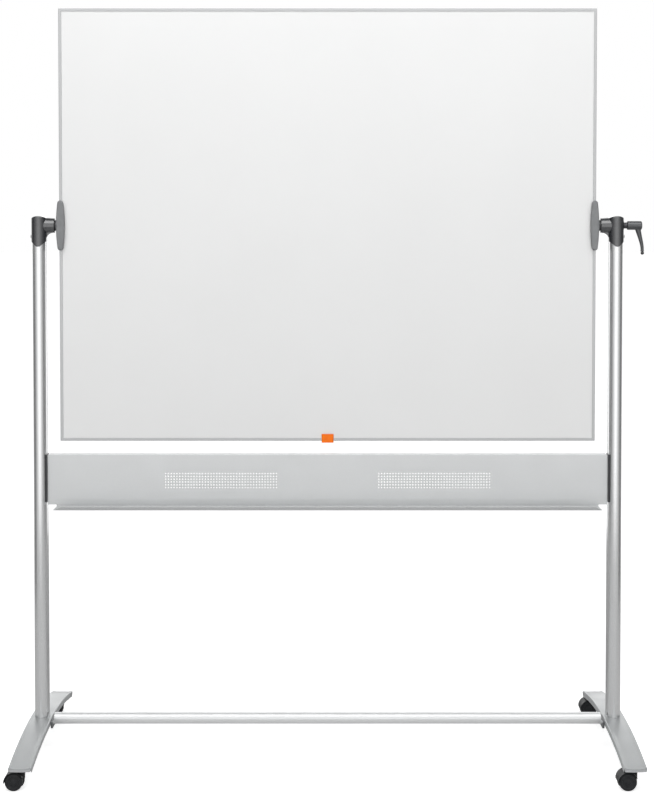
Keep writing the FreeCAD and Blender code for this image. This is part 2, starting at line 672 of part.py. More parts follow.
def panel_bracket():
    """A dark angle between the panel's end and the post's inner side."""
    low_z = 709.0
    high_z = 843.0
    strip_x = PANEL_HALF_WIDTH + 0.3
    post_face = POST_X - POST_WIDTH / 2
    flange_y = (PANEL_BACK_Y + 0.1, PANEL_BACK_Y + 3.1)
    section = [(strip_x, -22.0), (strip_x + 4.2, -22.0), (post_face - 0.1, -12.0),
               (post_face - 0.1, 12.0), (strip_x, 12.0)]
    strip = prism([Vector(x, y, low_z) for x, y in section], Vector(0, 0, high_z - low_z))
    flange = box((strip_x - 26, strip_x + 0.5), flange_y, (low_z + 18, high_z - 12))
    body = fuse(strip, flange)
    for stud_z in BRACKET_STUD_Z:
        body = body.cut(rod_y(2.1, (flange_y[0] - 1, flange_y[1] + 1), BRACKET_STUD_X, stud_z))
    for bolt_z in SLOT_BOLT_Z:
        body = body.cut(rod_x(3.1, (strip_x - 1, post_face + 1), 0, bolt_z))
    return body




def panel_nuts():
    """Welded studs with nuts behind the panel: a row for the tray, and two for each bracket."""
    places = [(x, STUD_ROW_Z, SHEET_METAL) for x in TRAY_STUD_X]
    for side in (-1, 1):
        places += [(side * BRACKET_STUD_X, z, 3.1) for z in BRACKET_STUD_Z]
    nuts = []
    for x, z, clamped in places:
        seat = PANEL_BACK_Y + clamped
        stud = rod_y(2.0, (PANEL_BACK_Y, seat + 4.5), x, z)
        nut = rod_y(4.0, (seat, seat + 3.2), x, z)
        nuts.append(fuse(stud, nut))
    return nuts


def slot_bolts():
    """T-head bolts in the posts' slots, each with a hexagon nut on the bracket's strip."""
    post_face = POST_X - POST_WIDTH / 2
    strip_x = PANEL_HALF_WIDTH + 0.3
    bolts = []
    for side in (-1, 1):
        for z in SLOT_BOLT_Z:
            head_near = post_face + SLOT_MOUTH_DEPTH + 0.1
            head = box(sorted((side * head_near, side * (head_near + 3.5))), (-6, 6), (z - 3, z + 3))
            shank = rod_x(3.0, sorted((side * (strip_x - 4.5), side * head_near)), 0, z)
            nut = hexagon_x(10.0, sorted((side * (strip_x - 3.2), side * strip_x)), 0, z)
            bolts.append(fuse(head, shank, nut))
    return bolts


# ---- Clamping lever ----

SPIGOT_RADIUS = 6.0
SPIGOT_END_X = 858.0
SHOULDER_X = 853.0
CHAMBER_RADIUS = 9.0
LEVER_SCREW_HEAD_X = 872.0


def lever_insert():
    """A steel stud that screws into the pivot shaft, with a neck and a spigot for the handle."""
    stud = rod_x(STUD_RADIUS, (RIGHT_SHAFT_END_X - 18, LEVER_NECK_X), 0, PIVOT_Z)
    neck = rod_x(8.5, (LEVER_NECK_X, LEVER_HUB_X - BODY_GAP), 0, PIVOT_Z)
    spigot = rod_x(SPIGOT_RADIUS, (LEVER_HUB_X - BODY_GAP, SPIGOT_END_X), 0, PIVOT_Z)
    thread = rod_x(2.45, (SPIGOT_END_X - 14, SPIGOT_END_X + 1), 0, PIVOT_Z)
    return fuse(stud, neck, spigot).cut(thread)


def lever_arm():
    """A tapering arm that leaves the hub downwards and bends gently outwards."""
    sections = [(870.5, 6.0, 8.8, 7.6), (876.0, 28.0, 6.7, 6.4), (879.8, 42.0, 5.7, 5.5),
                (882.7, 55.0, 5.0, 4.8), (884.0, LEVER_REACH - 3, 4.5, 4.4)]
    wires = []
    for centre_x, drop, half_x, half_y in sections:
        centre = Vector(centre_x, 0, PIVOT_Z - drop)
        ellipse = Part.Ellipse(centre, half_x, half_y)
        ellipse.Axis = Z_AXIS
        ellipse.XAxis = X_AXIS
        wires.append(Part.Wire([ellipse.toShape()]))
    return Part.makeLoft(wires, True, False)


def lever_handle():
    """A cast hub that sits on the spigot and lifts off it outwards, with the arm and a collar."""
    hub = rod_x(LEVER_HUB_RADIUS, (LEVER_HUB_X, LEVER_END_X), 0, PIVOT_Z)
    hub = hub.makeChamfer(1.8, [e for e in hub.Edges if e.BoundBox.XLength < 0.01])
    collar = rod_z(5.0, (PIVOT_Z - LEVER_REACH, PIVOT_Z - LEVER_REACH + 3.2), 884.0, 0)
    body = fuse(hub, lever_arm(), collar)
    body = body.cut(rod_x(SPIGOT_RADIUS + RUNNING_GAP, (LEVER_HUB_X - 1, SHOULDER_X + 1),
                          0, PIVOT_Z))
    return body.cut(rod_x(CHAMBER_RADIUS, (SHOULDER_X, LEVER_END_X + 1), 0, PIVOT_Z))


def lever_tip():
    ball = Part.makeSphere(5.0, Vector(884.4, 0, PIVOT_Z - LEVER_REACH - 4.4))
    above = box((870, 900), (-9, 9), (PIVOT_Z - LEVER_REACH, PIVOT_Z))
    return ball.cut(above)


def lever_screw():
    """The screw in the insert's end whose head holds the spring."""
    shank = rod_x(2.4, (SPIGOT_END_X - 12, LEVER_SCREW_HEAD_X), 0, PIVOT_Z)
    head = rod_x(8.6, (LEVER_SCREW_HEAD_X, LEVER_SCREW_HEAD_X + 4), 0, PIVOT_Z)
    socket = hexagon_x(5.0, (LEVER_SCREW_HEAD_X + 1.5, LEVER_SCREW_HEAD_X + 5), 0, PIVOT_Z)
    return fuse(shank, head).cut(socket)


def lever_spring():
    """A compression spring between the handle's shoulder and the screw's head."""
    wire_radius = 0.8
    coil_radius = 7.5
    turns = 4
    length = LEVER_SCREW_HEAD_X - SHOULDER_X - 2 * wire_radius - 1.0
    helix = Part.makeHelix(length / turns, length, coil_radius)
    section = Part.Wire([Part.makeCircle(wire_radius, Vector(coil_radius, 0, 0), Y_AXIS)])
    coil = Part.Wire(helix.Edges).makePipeShell([section], True, True)
    turned = Placement(Vector(SHOULDER_X + wire_radius + 0.5, 0, PIVOT_Z), Rotation(Y_AXIS, 90))
    coil.Placement = turned
    return coil


# ---- Casters ----

def caster_housing():
    """A web between the wheels, a hood over them and a round boss for the stem."""
    centre_x = -CASTER_TRAIL
    web_half = WHEEL_INNER_Y - 1.0
    hood_half = WHEEL_OUTER_Y + 0.8
    inner_radius = HOOD_RADIUS - HOOD_WALL
    hood = rod_y(HOOD_RADIUS, (-hood_half, hood_half), centre_x, WHEEL_RADIUS)
    hood = hood.cut(rod_y(inner_radius, (-hood_half, hood_half), centre_x, WHEEL_RADIUS))
    reach = HOOD_RADIUS + 5
    keep = [Vector(centre_x, -hood_half, WHEEL_RADIUS),
            Vector(centre_x - reach, -hood_half, WHEEL_RADIUS - 3),
            Vector(centre_x - reach, -hood_half, WHEEL_RADIUS + reach),
            Vector(centre_x + reach, -hood_half, WHEEL_RADIUS + reach),
            Vector(centre_x + reach, -hood_half, WHEEL_RADIUS + 14)]
    hood = hood.common(prism(keep, Vector(0, 2 * hood_half, 0)))
    web = rod_y(HOOD_RADIUS - 1, (-web_half, web_half), centre_x, WHEEL_RADIUS)
    web = web.cut(box((centre_x - 40, centre_x + 40), (-10, 10), (-10, WHEEL_RADIUS - 14)))
    boss = rod_z(9.5, (WHEEL_RADIUS + 6, SOCKET_BOTTOM_Z - 0.8), 0, 0)
    for side in (-1, 1):
        wheel_space = sorted((side * web_half, side * 40))
        boss = boss.cut(rod_y(inner_radius, wheel_space, centre_x, WHEEL_RADIUS))
    body = fuse(hood, web, boss)
    body = body.cut(rod_z(STEM_RADIUS + 0.01, (28, 80), 0, 0))
    return body.cut(rod_y(AXLE_RADIUS + RUNNING_GAP, (-40, 40), centre_x, WHEEL_RADIUS))


def caster_stem():
    return rod_z(STEM_RADIUS, (28.2, SOCKET_BOTTOM_Z + 10), 0, 0)


def caster_axle():
    return rod_y(AXLE_RADIUS, (2 - WHEEL_OUTER_Y, WHEEL_OUTER_Y - 2), -CASTER_TRAIL, WHEEL_RADIUS)


def caster_wheels():
    """Two separate wheels with rounded treads and a ringed recess in their outer faces."""
    wheels = []
    for side in (-1, 1):
        width = sorted((side * WHEEL_INNER_Y, side * WHEEL_OUTER_Y))
        wheel = rod_y(WHEEL_RADIUS, width, -CASTER_TRAIL, WHEEL_RADIUS)
        rims = [e for e in wheel.Edges
                if e.BoundBox.YLength < 0.01 and e.BoundBox.ZLength > WHEEL_RADIUS]
        outer = [e for e in rims if abs(abs(e.BoundBox.YMin) - WHEEL_OUTER_Y) < 0.01]
        wheel = wheel.makeFillet(4.0, outer)
        recess = sorted((side * (WHEEL_OUTER_Y - 1.6), side * (WHEEL_OUTER_Y + 1)))
        ring = rod_y(16.0, recess, -CASTER_TRAIL, WHEEL_RADIUS)
        ring = ring.cut(rod_y(7.0, recess, -CASTER_TRAIL, WHEEL_RADIUS))
        wheel = wheel.cut(ring)
        bore = sorted((side * (WHEEL_INNER_Y - 1), side * (WHEEL_OUTER_Y - 1.9)))
        wheels.append(wheel.cut(rod_y(AXLE_RADIUS, bore, -CASTER_TRAIL, WHEEL_RADIUS)))
    return wheels


def placed(shape, x, y):
    moved = shape.copy()
    moved.translate(Vector(x, y, 0))
    return moved


# ---- Export: one file for each node ----

RING = rail_ring()
save("front_sheet", writing_sheet(-1))
save("back_sheet", writing_sheet(1))
save("board_core", board_core())
save("frame_top", RING.common(mitre_wedge("x", 1)))
save("frame_bottom", RING.common(mitre_wedge("x", -1)))
for side_name, side in (("left", -1), ("right", 1)):
    rail = RING.common(mitre_wedge("z", side))
    save("frame_" + side_name, rail.cut(side_rail_holes(side)))
save_group("corner_keys", corner_keys())
save("frame_clip", frame_clip())
save_group("saddle_screws", saddle_screws(-1) + saddle_screws(1))
save("left_pivot_saddle", mirror_x(pivot_saddle()))
save("right_pivot_saddle", pivot_saddle())
save("left_pivot_shaft", mirror_x(pivot_shaft(LEFT_SHAFT_END_X, False)))
save("right_pivot_shaft", pivot_shaft(RIGHT_SHAFT_END_X, True))

save("left_post", mirror_x(post(False)))
save("right_post", post(True))
save("left_pivot_bracket", mirror_x(pivot_bracket(False)))
save("right_pivot_bracket", pivot_bracket(True))
save("left_pivot_bush", mirror_x(pivot_bush()))
save("right_pivot_bush", pivot_bush())
save_group("set_screws", set_screws())
save("left_foot", mirror_x(foot()))
save("right_foot", foot())
save_group("post_bolts", post_bolts())
save("crossbar", crossbar())
save("left_crossbar_plate", mirror_x(crossbar_plate()))
save("right_crossbar_plate", crossbar_plate())
save_group("crossbar_bolts", crossbar_bolts())
save("fascia_panel", fascia_panel())
save("pen_tray", pen_tray())
save("left_panel_bracket", mirror_x(panel_bracket()))
save("right_panel_bracket", panel_bracket())
save_group("panel_nuts", panel_nuts())
save_group("slot_bolts", slot_bolts())

save("lever_insert", lever_insert())
save("lever_handle", lever_handle())
save("lever_tip", lever_tip())
save("lever_screw", lever_screw())
save("lever_spring", lever_spring())

CORNERS = (("front_left", -1, -1), ("front_right", 1, -1), ("rear_left", -1, 1), ("rear_right", 1, 1))
for corner, side_x, side_y in CORNERS:
    place = (side_x * POST_X, side_y * CASTER_Y)
    save(corner + "_socket", end_socket(side_x, side_y))
    save(corner + "_caster_housing", placed(caster_housing(), *place))
    save(corner + "_caster_stem", placed(caster_stem(), *place))
    save(corner + "_caster_axle", placed(caster_axle(), *place))
    save_group(corner + "_caster_wheels", [placed(w, *place) for w in caster_wheels()])
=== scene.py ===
import math

import bmesh
import bpy
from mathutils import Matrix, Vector


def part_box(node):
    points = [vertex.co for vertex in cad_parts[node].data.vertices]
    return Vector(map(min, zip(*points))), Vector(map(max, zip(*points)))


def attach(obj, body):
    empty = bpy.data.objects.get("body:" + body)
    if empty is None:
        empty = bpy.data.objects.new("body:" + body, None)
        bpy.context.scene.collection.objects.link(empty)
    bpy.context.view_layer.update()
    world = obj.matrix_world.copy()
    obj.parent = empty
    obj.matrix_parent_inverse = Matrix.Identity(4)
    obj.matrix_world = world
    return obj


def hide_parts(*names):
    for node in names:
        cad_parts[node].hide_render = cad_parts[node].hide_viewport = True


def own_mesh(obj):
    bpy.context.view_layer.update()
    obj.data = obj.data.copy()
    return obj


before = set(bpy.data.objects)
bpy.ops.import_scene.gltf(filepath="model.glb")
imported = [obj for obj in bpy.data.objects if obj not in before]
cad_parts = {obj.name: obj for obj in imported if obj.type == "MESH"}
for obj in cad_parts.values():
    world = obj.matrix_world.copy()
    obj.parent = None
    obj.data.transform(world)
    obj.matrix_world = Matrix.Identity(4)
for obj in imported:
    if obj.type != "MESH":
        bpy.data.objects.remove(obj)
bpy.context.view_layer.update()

# ---- The arched feet ----
# Each foot is an aluminium channel, rolled to a shallow arch and open underneath, with a rounded
# bead along both edges and a slightly dished top. It is sprayed with satin silver powder coat, the
# same as the panel's, but its tone is set darker as painted shade.

MM = 0.001


def new_piece(name, parts, sharp=32):
    """One object from (points, faces) parts, with smooth shading except at edges over sharp degrees."""
    points, faces = [], []
    for part_points, part_faces in parts:
        start = len(points)
        points += [tuple(p) for p in part_points]
        faces += [tuple(start + i for i in face) for face in part_faces]
    mesh = bpy.data.meshes.new(name)
    mesh.from_pydata(points, [], faces)
    work = bmesh.new()
    work.from_mesh(mesh)
    bmesh.ops.remove_doubles(work, verts=work.verts, dist=1e-6)
    bmesh.ops.recalc_face_normals(work, faces=work.faces)
    work.to_mesh(mesh)
    work.free()
    mesh.shade_smooth()
    mesh.set_sharp_from_angle(angle=math.radians(sharp))
    piece = bpy.data.objects.new(name, mesh)
    bpy.context.scene.collection.objects.link(piece)
    return piece


def even_normals(piece):
    """Keeps flat areas flat beside their rounded edges."""
    modifier = piece.modifiers.new("even_normals", "WEIGHTED_NORMAL")
    modifier.keep_sharp = True
    return piece


def wall_sweep(outer, inner, place, steps, closed=False):
    """A thin-walled section carried along a path. place(share, point) gives each point's position."""
    count = len(outer)
    ring = 2 * count
    points = [place(step / steps, p) for step in range(steps + 1) for p in outer + inner]
    spans = [(i, (i + 1) % count) for i in range(count if closed else count - 1)]
    faces = []
    for step in range(steps):
        near = step * ring
        far = near + ring
        for i, j in spans:
            faces.append((near + i, near + j, far + j, far + i))
            faces.append((near + count + j, near + count + i, far + count + i, far + count + j))
        if not closed:
            faces.append((near, far, far + count, near + count))
            faces.append((near + count - 1, near + ring - 1, far + ring - 1, far + count - 1))
    for base in (0, steps * ring):
        for i, j in spans:
            faces.append((base + i, base + j, base + count + j, base + count + i))
    return points, faces


def arc_points(centre, radius, start, end, steps):
    """Points on an arc in a section's plane, with the angles in degrees."""
    angles = [math.radians(start + (end - start) * i / steps) for i in range(steps + 1)]
    return [(centre[0] + radius * math.cos(a), centre[1] + radius * math.sin(a)) for a in angles]


def finish(name, colour, metallic, roughness, coat=0.0, coat_roughness=0.1, specular=0.5):
    """A material whose plain numbers sit on the shader's own sockets."""
    material = bpy.data.materials.new(name)
    material.use_nodes = True
    shader = material.node_tree.nodes["Principled BSDF"]
    shader.inputs["Base Color"].default_value = (*colour, 1)
    shader.inputs["Metallic"].default_value = metallic
    shader.inputs["Roughness"].default_value = roughness
    shader.inputs["Specular IOR Level"].default_value = specular
    shader.inputs["Coat Weight"].default_value = coat
    shader.inputs["Coat Roughness"].default_value = coat_roughness
    return material


def grain(material, per_metre, detail=3.0):
    """A noise pattern with the given number of cells to the metre along X, Y and Z."""
    nodes, links = material.node_tree.nodes, material.node_tree.links
    where = nodes.new("ShaderNodeTexCoord")
    scale = nodes.new("ShaderNodeMapping")
    scale.inputs["Scale"].default_value = per_metre
    noise = nodes.new("ShaderNodeTexNoise")
    noise.inputs["Scale"].default_value = 1.0
    noise.inputs["Detail"].default_value = detail
    links.new(where.outputs["Object"], scale.inputs["Vector"])
    links.new(scale.outputs["Vector"], noise.inputs["Vector"])
    return noise.outputs["Fac"]


def tint(material, dark, light, pattern):
    """Base colour that drifts between two tones with a pattern."""
    nodes, links = material.node_tree.nodes, material.node_tree.links
    ramp = nodes.new("ShaderNodeValToRGB")
    ramp.color_ramp.elements[0].position = 0.3
    ramp.color_ramp.elements[0].color = (*dark, 1)
    ramp.color_ramp.elements[1].position = 0.7
    ramp.color_ramp.elements[1].color = (*light, 1)
    links.new(pattern, ramp.inputs["Fac"])
    links.new(ramp.outputs["Color"], nodes["Principled BSDF"].inputs["Base Color"])


def gloss_drift(material, low, high, pattern):
    """Roughness that drifts between two values with a pattern."""
    nodes, links = material.node_tree.nodes, material.node_tree.links
    span = nodes.new("ShaderNodeMapRange")
    span.inputs["From Min"].default_value = 0.3
    span.inputs["From Max"].default_value = 0.7
    span.inputs["To Min"].default_value = low
    span.inputs["To Max"].default_value = high
    links.new(pattern, span.inputs["Value"])
    links.new(span.outputs["Result"], nodes["Principled BSDF"].inputs["Roughness"])


def relief(material, pattern, height, strength=1.0):
    """Surface relief of the given height in metres. Each call adds to the one before."""
    nodes, links = material.node_tree.nodes, material.node_tree.links
    shader = nodes["Principled BSDF"]
    bump = nodes.new("ShaderNodeBump")
    bump.inputs["Distance"].default_value = height
    bump.inputs["Strength"].default_value = strength
    before = shader.inputs["Normal"].links
    if before:
        links.new(before[0].from_socket, bump.inputs["Normal"])
    links.new(pattern, bump.inputs["Height"])
    links.new(bump.outputs["Normal"], shader.inputs["Normal"])


def silver_powder_coat(name, dark, light):
    """Satin silver: fine orange peel, a metallic flake too small to see singly, faint handling marks."""
    coat = finish(name, light, 0.40, 0.36, coat=0.2, coat_roughness=0.22)
    tint(coat, dark, light, grain(coat, (1400, 1400, 1400), detail=2))
    gloss_drift(coat, 0.30, 0.42, grain(coat, (14, 14, 14), detail=5))
    relief(coat, grain(coat, (420, 420, 420), detail=2), 0.00004)
    relief(coat, grain(coat, (2600, 2600, 2600), detail=1), 0.000008)
    return coat


def fit(piece, material, slot, body, *nodes):
    """Finishes a piece and puts it in its CAD nodes' place."""
    piece.data.materials.append(material)
    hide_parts(*nodes)
    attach(piece, body)


# The feet's copy of the silver coat is set darker than the panel's and the bar's. The difference is painted
# shade, not a darker paint.
FOOT_SILVER_PAINTED_SHADE = silver_powder_coat("foot_silver_painted_shade", (0.43, 0.445, 0.45), (0.51, 0.525, 0.53))
FOOT_ARC_RADIUS = 1590 * MM
FOOT_FLANGE = 17 * MM
FOOT_WALL = 2.6 * MM
FOOT_BEAD = 3.0 * MM
FOOT_DISH = 1.5 * MM
FOOT_END_BOW = 4 * MM
FLANGE_SETBACK = 10 * MM
FOOT_STEPS = 96


def foot_section(half):
    """Outer and inner skins of the channel as (across, up) points, from one flange to the other."""
    bead, under = FOOT_BEAD, -FOOT_DISH - FOOT_WALL
    inside = half - FOOT_WALL
    outer = [(-half, -FOOT_FLANGE + 0.8 * MM), (-half, -FOOT_FLANGE * 0.5), (-half, -bead)]
    outer += arc_points((bead - half, -bead), bead, 180, 90, 8)[1:]
    outer += [(-26.2 * MM, -0.12 * MM), (-24.6 * MM, -0.4 * MM), (-22.6 * MM, -0.95 * MM),
              (-20 * MM, -1.35 * MM), (-16 * MM, -FOOT_DISH)]
    outer += [(-8 * MM, -FOOT_DISH), (0, -FOOT_DISH)]
    outer += [(-x, z) for x, z in reversed(outer[:-1])]
    inner = []
    for x, z in outer:
        side = -1 if x < 0 else 1
        if abs(x) > inside:
            inner.append((side * inside, min(z, under - 1.5 * MM)))
        else:
            inner.append((x, under))
    inner[0] = (-half + 0.9 * MM, -FOOT_FLANGE)
    inner[-1] = (half - 0.9 * MM, -FOOT_FLANGE)
    return outer, inner


for side in ("left", "right"):
    node = side + "_foot"
    low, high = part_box(node)
    foot_x = (low.x + high.x) / 2
    half = (high.x - low.x) / 2
    end_y = high.y
    crown = high.z

    def along_arch(share, point, foot_x=foot_x, half=half, end_y=end_y, crown=crown):
        across, up = point
        end = end_y - FOOT_END_BOW * (across / half) ** 2
        hang = max(0.0, -up - FOOT_BEAD) / (FOOT_FLANGE - FOOT_BEAD)
        end -= FLANGE_SETBACK * hang
        y = (2 * share - 1) * end
        z = crown - FOOT_ARC_RADIUS + math.sqrt((FOOT_ARC_RADIUS + up) ** 2 - y * y)
        return (foot_x + across, y, z)

    outer, inner = foot_section(half)
    foot = new_piece(side + "_foot_channel", [wall_sweep(outer, inner, along_arch, FOOT_STEPS)])
    fit(even_normals(foot), FOOT_SILVER_PAINTED_SHADE, "silver_paint", "stand", node)

# ---- The end sockets ----
# A glass-filled nylon moulding closes each end of a foot and takes a caster's stem. It is pressed
# up into the channel, and its colour is matched to the powder coat, though it is a little flatter.

SOCKET_NYLON = finish("silver_nylon", (0.50, 0.51, 0.52), 0.25, 0.52)
tint(SOCKET_NYLON, (0.46, 0.47, 0.48), (0.54, 0.55, 0.56), grain(SOCKET_NYLON, (260, 260, 260)))
relief(SOCKET_NYLON, grain(SOCKET_NYLON, (1800, 1800, 1800), detail=2), 0.00002)
SOCKET_EDGE = 0.6 * MM


def node_form(node):
    """The points and faces of a CAD node, as the start of a finished piece."""
    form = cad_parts[node].data
    return [tuple(v.co) for v in form.vertices], [tuple(p.vertices) for p in form.polygons]


def eased_piece(node, name, radius):
    """A machined or moulded piece whose corners are eased to a small radius."""
    piece = new_piece(name, [node_form(node)], sharp=180)
    work = bmesh.new()
    work.from_mesh(piece.data)
    bmesh.ops.dissolve_limit(work, angle_limit=math.radians(1), verts=work.verts, edges=work.edges)
    work.to_mesh(piece.data)
    work.free()
    edge = piece.modifiers.new("eased_edges", "BEVEL")
    edge.width = radius
    edge.segments = 3
    edge.limit_method = "ANGLE"
    edge.angle_limit = math.radians(38)
    return even_normals(piece)


CORNERS = ("front_left", "front_right", "rear_left", "rear_right")
for corner in CORNERS:
    node = corner + "_socket"
    fit(eased_piece(node, corner + "_end_socket", SOCKET_EDGE), SOCKET_NYLON,
        "silver_paint", "stand", node)

# ---- The casters ----
# Twin-wheel furniture casters in black nylon. The hood, the web between the wheels and the stem's
# boss are one moulding. The wheels have a ringed outer face and are pressed on a steel axle.

HOUSING_NYLON = finish("housing_nylon", (0.012, 0.0125, 0.014), 0.0, 0.42, specular=0.3)
tint(HOUSING_NYLON, (0.009, 0.0095, 0.011), (0.017, 0.0175, 0.019),
     grain(HOUSING_NYLON, (40, 40, 40), detail=4))
gloss_drift(HOUSING_NYLON, 0.34, 0.50, grain(HOUSING_NYLON, (60, 60, 60), detail=4))
relief(HOUSING_NYLON, grain(HOUSING_NYLON, (1500, 1500, 1500), detail=2), 0.00003)
WHEEL_NYLON = finish("wheel_nylon", (0.017, 0.018, 0.020), 0.0, 0.36, specular=0.3)
tint(WHEEL_NYLON, (0.012, 0.013, 0.015), (0.024, 0.025, 0.027),
     grain(WHEEL_NYLON, (90, 90, 90), detail=5))
gloss_drift(WHEEL_NYLON, 0.28, 0.55, grain(WHEEL_NYLON, (120, 120, 120), detail=6))
relief(WHEEL_NYLON, grain(WHEEL_NYLON, (900, 900, 900), detail=3), 0.00003)
PLATED_STEEL = finish("plated_steel", (0.60, 0.61, 0.62), 1.0, 0.30)
tint(PLATED_STEEL, (0.50, 0.51, 0.52), (0.66, 0.66, 0.67), grain(PLATED_STEEL, (500, 500, 500)))
gloss_drift(PLATED_STEEL, 0.22, 0.42, grain(PLATED_STEEL, (150, 150, 150), detail=5))
relief(PLATED_STEEL, grain(PLATED_STEEL, (2500, 2500, 2500), detail=1), 0.00001)
HOUSING_VOXEL = 0.55 * MM


def dress(name, material):
    """Gives a CAD node its finish."""
    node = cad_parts[name]
    node.data.materials.clear()
    node.data.materials.append(material)


def cast_piece(node, name, voxel, rounds):
    """A CAD node's form with its corners blended together, as it leaves a mould."""
    piece = new_piece(name, [node_form(node)])
    skin = piece.modifiers.new("skin", "REMESH")
    skin.mode = "VOXEL"
    skin.voxel_size = voxel
    blend = piece.modifiers.new("blend", "SMOOTH")
    blend.factor = 0.5
    blend.iterations = rounds
    shown = piece.evaluated_get(bpy.context.evaluated_depsgraph_get())
    moulded = bpy.data.meshes.new_from_object(shown)
    piece.modifiers.clear()
    piece.data = moulded
    moulded.shade_smooth()
    return piece


def turned(profile, centre, axis, segments=72):
    """A form turned on an axis from (radius, distance along, sides) rows. Sides is 0 for round."""
    along = Vector(axis).normalized()
    across = along.orthogonal().normalized()
    third = along.cross(across)
    points, faces = [], []
    for radius, distance, sides in profile:
        for step in range(segments):
            angle = 2 * math.pi * step / segments
            reach = radius
            if sides:
                fold = (angle + math.pi / sides) % (2 * math.pi / sides) - math.pi / sides
                reach = radius / math.cos(fold)
            spoke = across * math.cos(angle) + third * math.sin(angle)
            points.append(Vector(centre) + along * distance + spoke * reach)
    for row in range(len(profile) - 1):
        for step in range(segments):
            near, after = row * segments + step, row * segments + (step + 1) % segments
            faces.append((near, after, after + segments, near + segments))
    if profile[0] != profile[-1]:
        for row in (0, len(profile) - 1):
            if profile[row][0] > 0:
                faces.append(tuple(range(row * segments, (row + 1) * segments)))
    return points, faces


def round_rows(pairs):
    """Round rows for a turned form from (radius, distance) pairs in millimetres."""
    return [(radius * MM, distance * MM, 0) for radius, distance in pairs]


WHEEL_ROWS = round_rows([
    (0, 7.2), (6.8, 7.2), (7.0, 7.0), (21.6, 7.0), (22.7, 7.4), (23.4, 8.6), (23.5, 9.8),
    (23.5, 12.6), (23.3, 12.9), (23.3, 13.3), (23.5, 13.6), (23.5, 17.2), (23.2, 19.0), (22.3, 20.7),
    (20.9, 21.7), (19.4, 22.0), (16.8, 22.0), (16.3, 21.8), (16.0, 21.2), (15.8, 20.6), (15.2, 20.4),
    (11.5, 20.2), (7.9, 20.4), (7.3, 20.6), (7.1, 21.2), (6.8, 21.7), (6.2, 21.9), (3.0, 22.0),
    (0, 22.0)])
for corner in CORNERS:
    body = corner + "_caster"
    node = corner + "_caster_housing"
    fit(cast_piece(node, corner + "_housing_moulding", HOUSING_VOXEL, 5), HOUSING_NYLON,
        "black_plastic", body, node)
    dress(corner + "_caster_stem", PLATED_STEEL)
    dress(corner + "_caster_axle", PLATED_STEEL)
    node = corner + "_caster_wheels"
    low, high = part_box(node)
    hub = (low + high) / 2
    pair = new_piece(corner + "_wheel_pair", [turned(WHEEL_ROWS, hub, (0, -1, 0)),
                                              turned(WHEEL_ROWS, hub, (0, 1, 0))])
    fit(pair, WHEEL_NYLON, "wheel_plastic", corner + "_wheels", node)

# ---- The crossbar ----
# A round steel tube between the feet, with a plate welded on each end. Two button-head screws
# bolt each plate to the foot's inner flange. The tube is sprayed silver and the plates dark grey;
# the tube's silver is set lighter than the feet's and the panel's as painted light.

low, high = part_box("crossbar")
BAR_CENTRE = (low + high) / 2
BAR_HALF = high.x
BAR_RADIUS = (high.z - low.z) / 2
BAR_WALL = 2.0 * MM
tube_rows = [(BAR_RADIUS - BAR_WALL, -BAR_HALF, 0), (BAR_RADIUS, -BAR_HALF, 0)]
tube_rows += [(BAR_RADIUS, BAR_HALF * share, 0) for share in (-0.998, -0.5, 0, 0.5, 0.998)]
tube_rows += [(BAR_RADIUS, BAR_HALF, 0), (BAR_RADIUS - BAR_WALL, BAR_HALF, 0), tube_rows[0]]
tube = turned(tube_rows, BAR_CENTRE, (1, 0, 0), segments=96)
WELD_RADIUS = 1.5 * MM
WELD_START, WELD_END = 154, 386
WELD_STEPS = 150


def weld_bead(side):
    """A fillet weld round the part of the tube that meets its plate."""
    points, faces, ring = [], [], 10
    for step in range(WELD_STEPS + 1):
        share = step / WELD_STEPS
        angle = math.radians(WELD_START + (WELD_END - WELD_START) * share)
        size = WELD_RADIUS * (1 + 0.10 * math.sin(share * 180)) * min(1, 12 * share, 12 - 12 * share)
        size = max(size, 0.05 * MM)
        for turn in range(ring):
            lean = 2 * math.pi * turn / ring
            reach = BAR_RADIUS + 0.4 * MM + size * math.cos(lean)
            points.append((side * (BAR_HALF - 0.4 * MM + size * math.sin(lean)),
                           reach * math.cos(angle), BAR_CENTRE.z + reach * math.sin(angle)))
    for step in range(WELD_STEPS):
        for turn in range(ring):
            near, after = step * ring + turn, step * ring + (turn + 1) % ring
            faces.append((near, after, after + ring, near + ring))
    faces += [tuple(range(ring)), tuple(range(WELD_STEPS * ring, (WELD_STEPS + 1) * ring))]
    return points, faces


# The tube's copy of the silver coat is set much lighter than the feet's and the panel's, to show as bright
# as it does under the light. The difference is painted light, not a lighter paint.
BAR_SILVER_PAINTED_LIGHT = silver_powder_coat("bar_silver_painted_light", (0.76, 0.77, 0.775), (0.83, 0.84, 0.845))
fit(new_piece("crossbar_tube", [tube, weld_bead(-1), weld_bead(1)]), BAR_SILVER_PAINTED_LIGHT,
    "silver_paint", "stand", "crossbar")
PLATE_GREY = finish("plate_grey", (0.16, 0.165, 0.17), 0.5, 0.42)
tint(PLATE_GREY, (0.14, 0.145, 0.15), (0.19, 0.195, 0.20), grain(PLATE_GREY, (500, 500, 500)))
relief(PLATE_GREY, grain(PLATE_GREY, (900, 900, 900), detail=2), 0.00003)
PLATE_EDGE = 0.9 * MM
for side in ("left", "right"):
    node = side + "_crossbar_plate"
    fit(eased_piece(node, side + "_bar_plate", PLATE_EDGE), PLATE_GREY, "dark_steel", "stand", node)


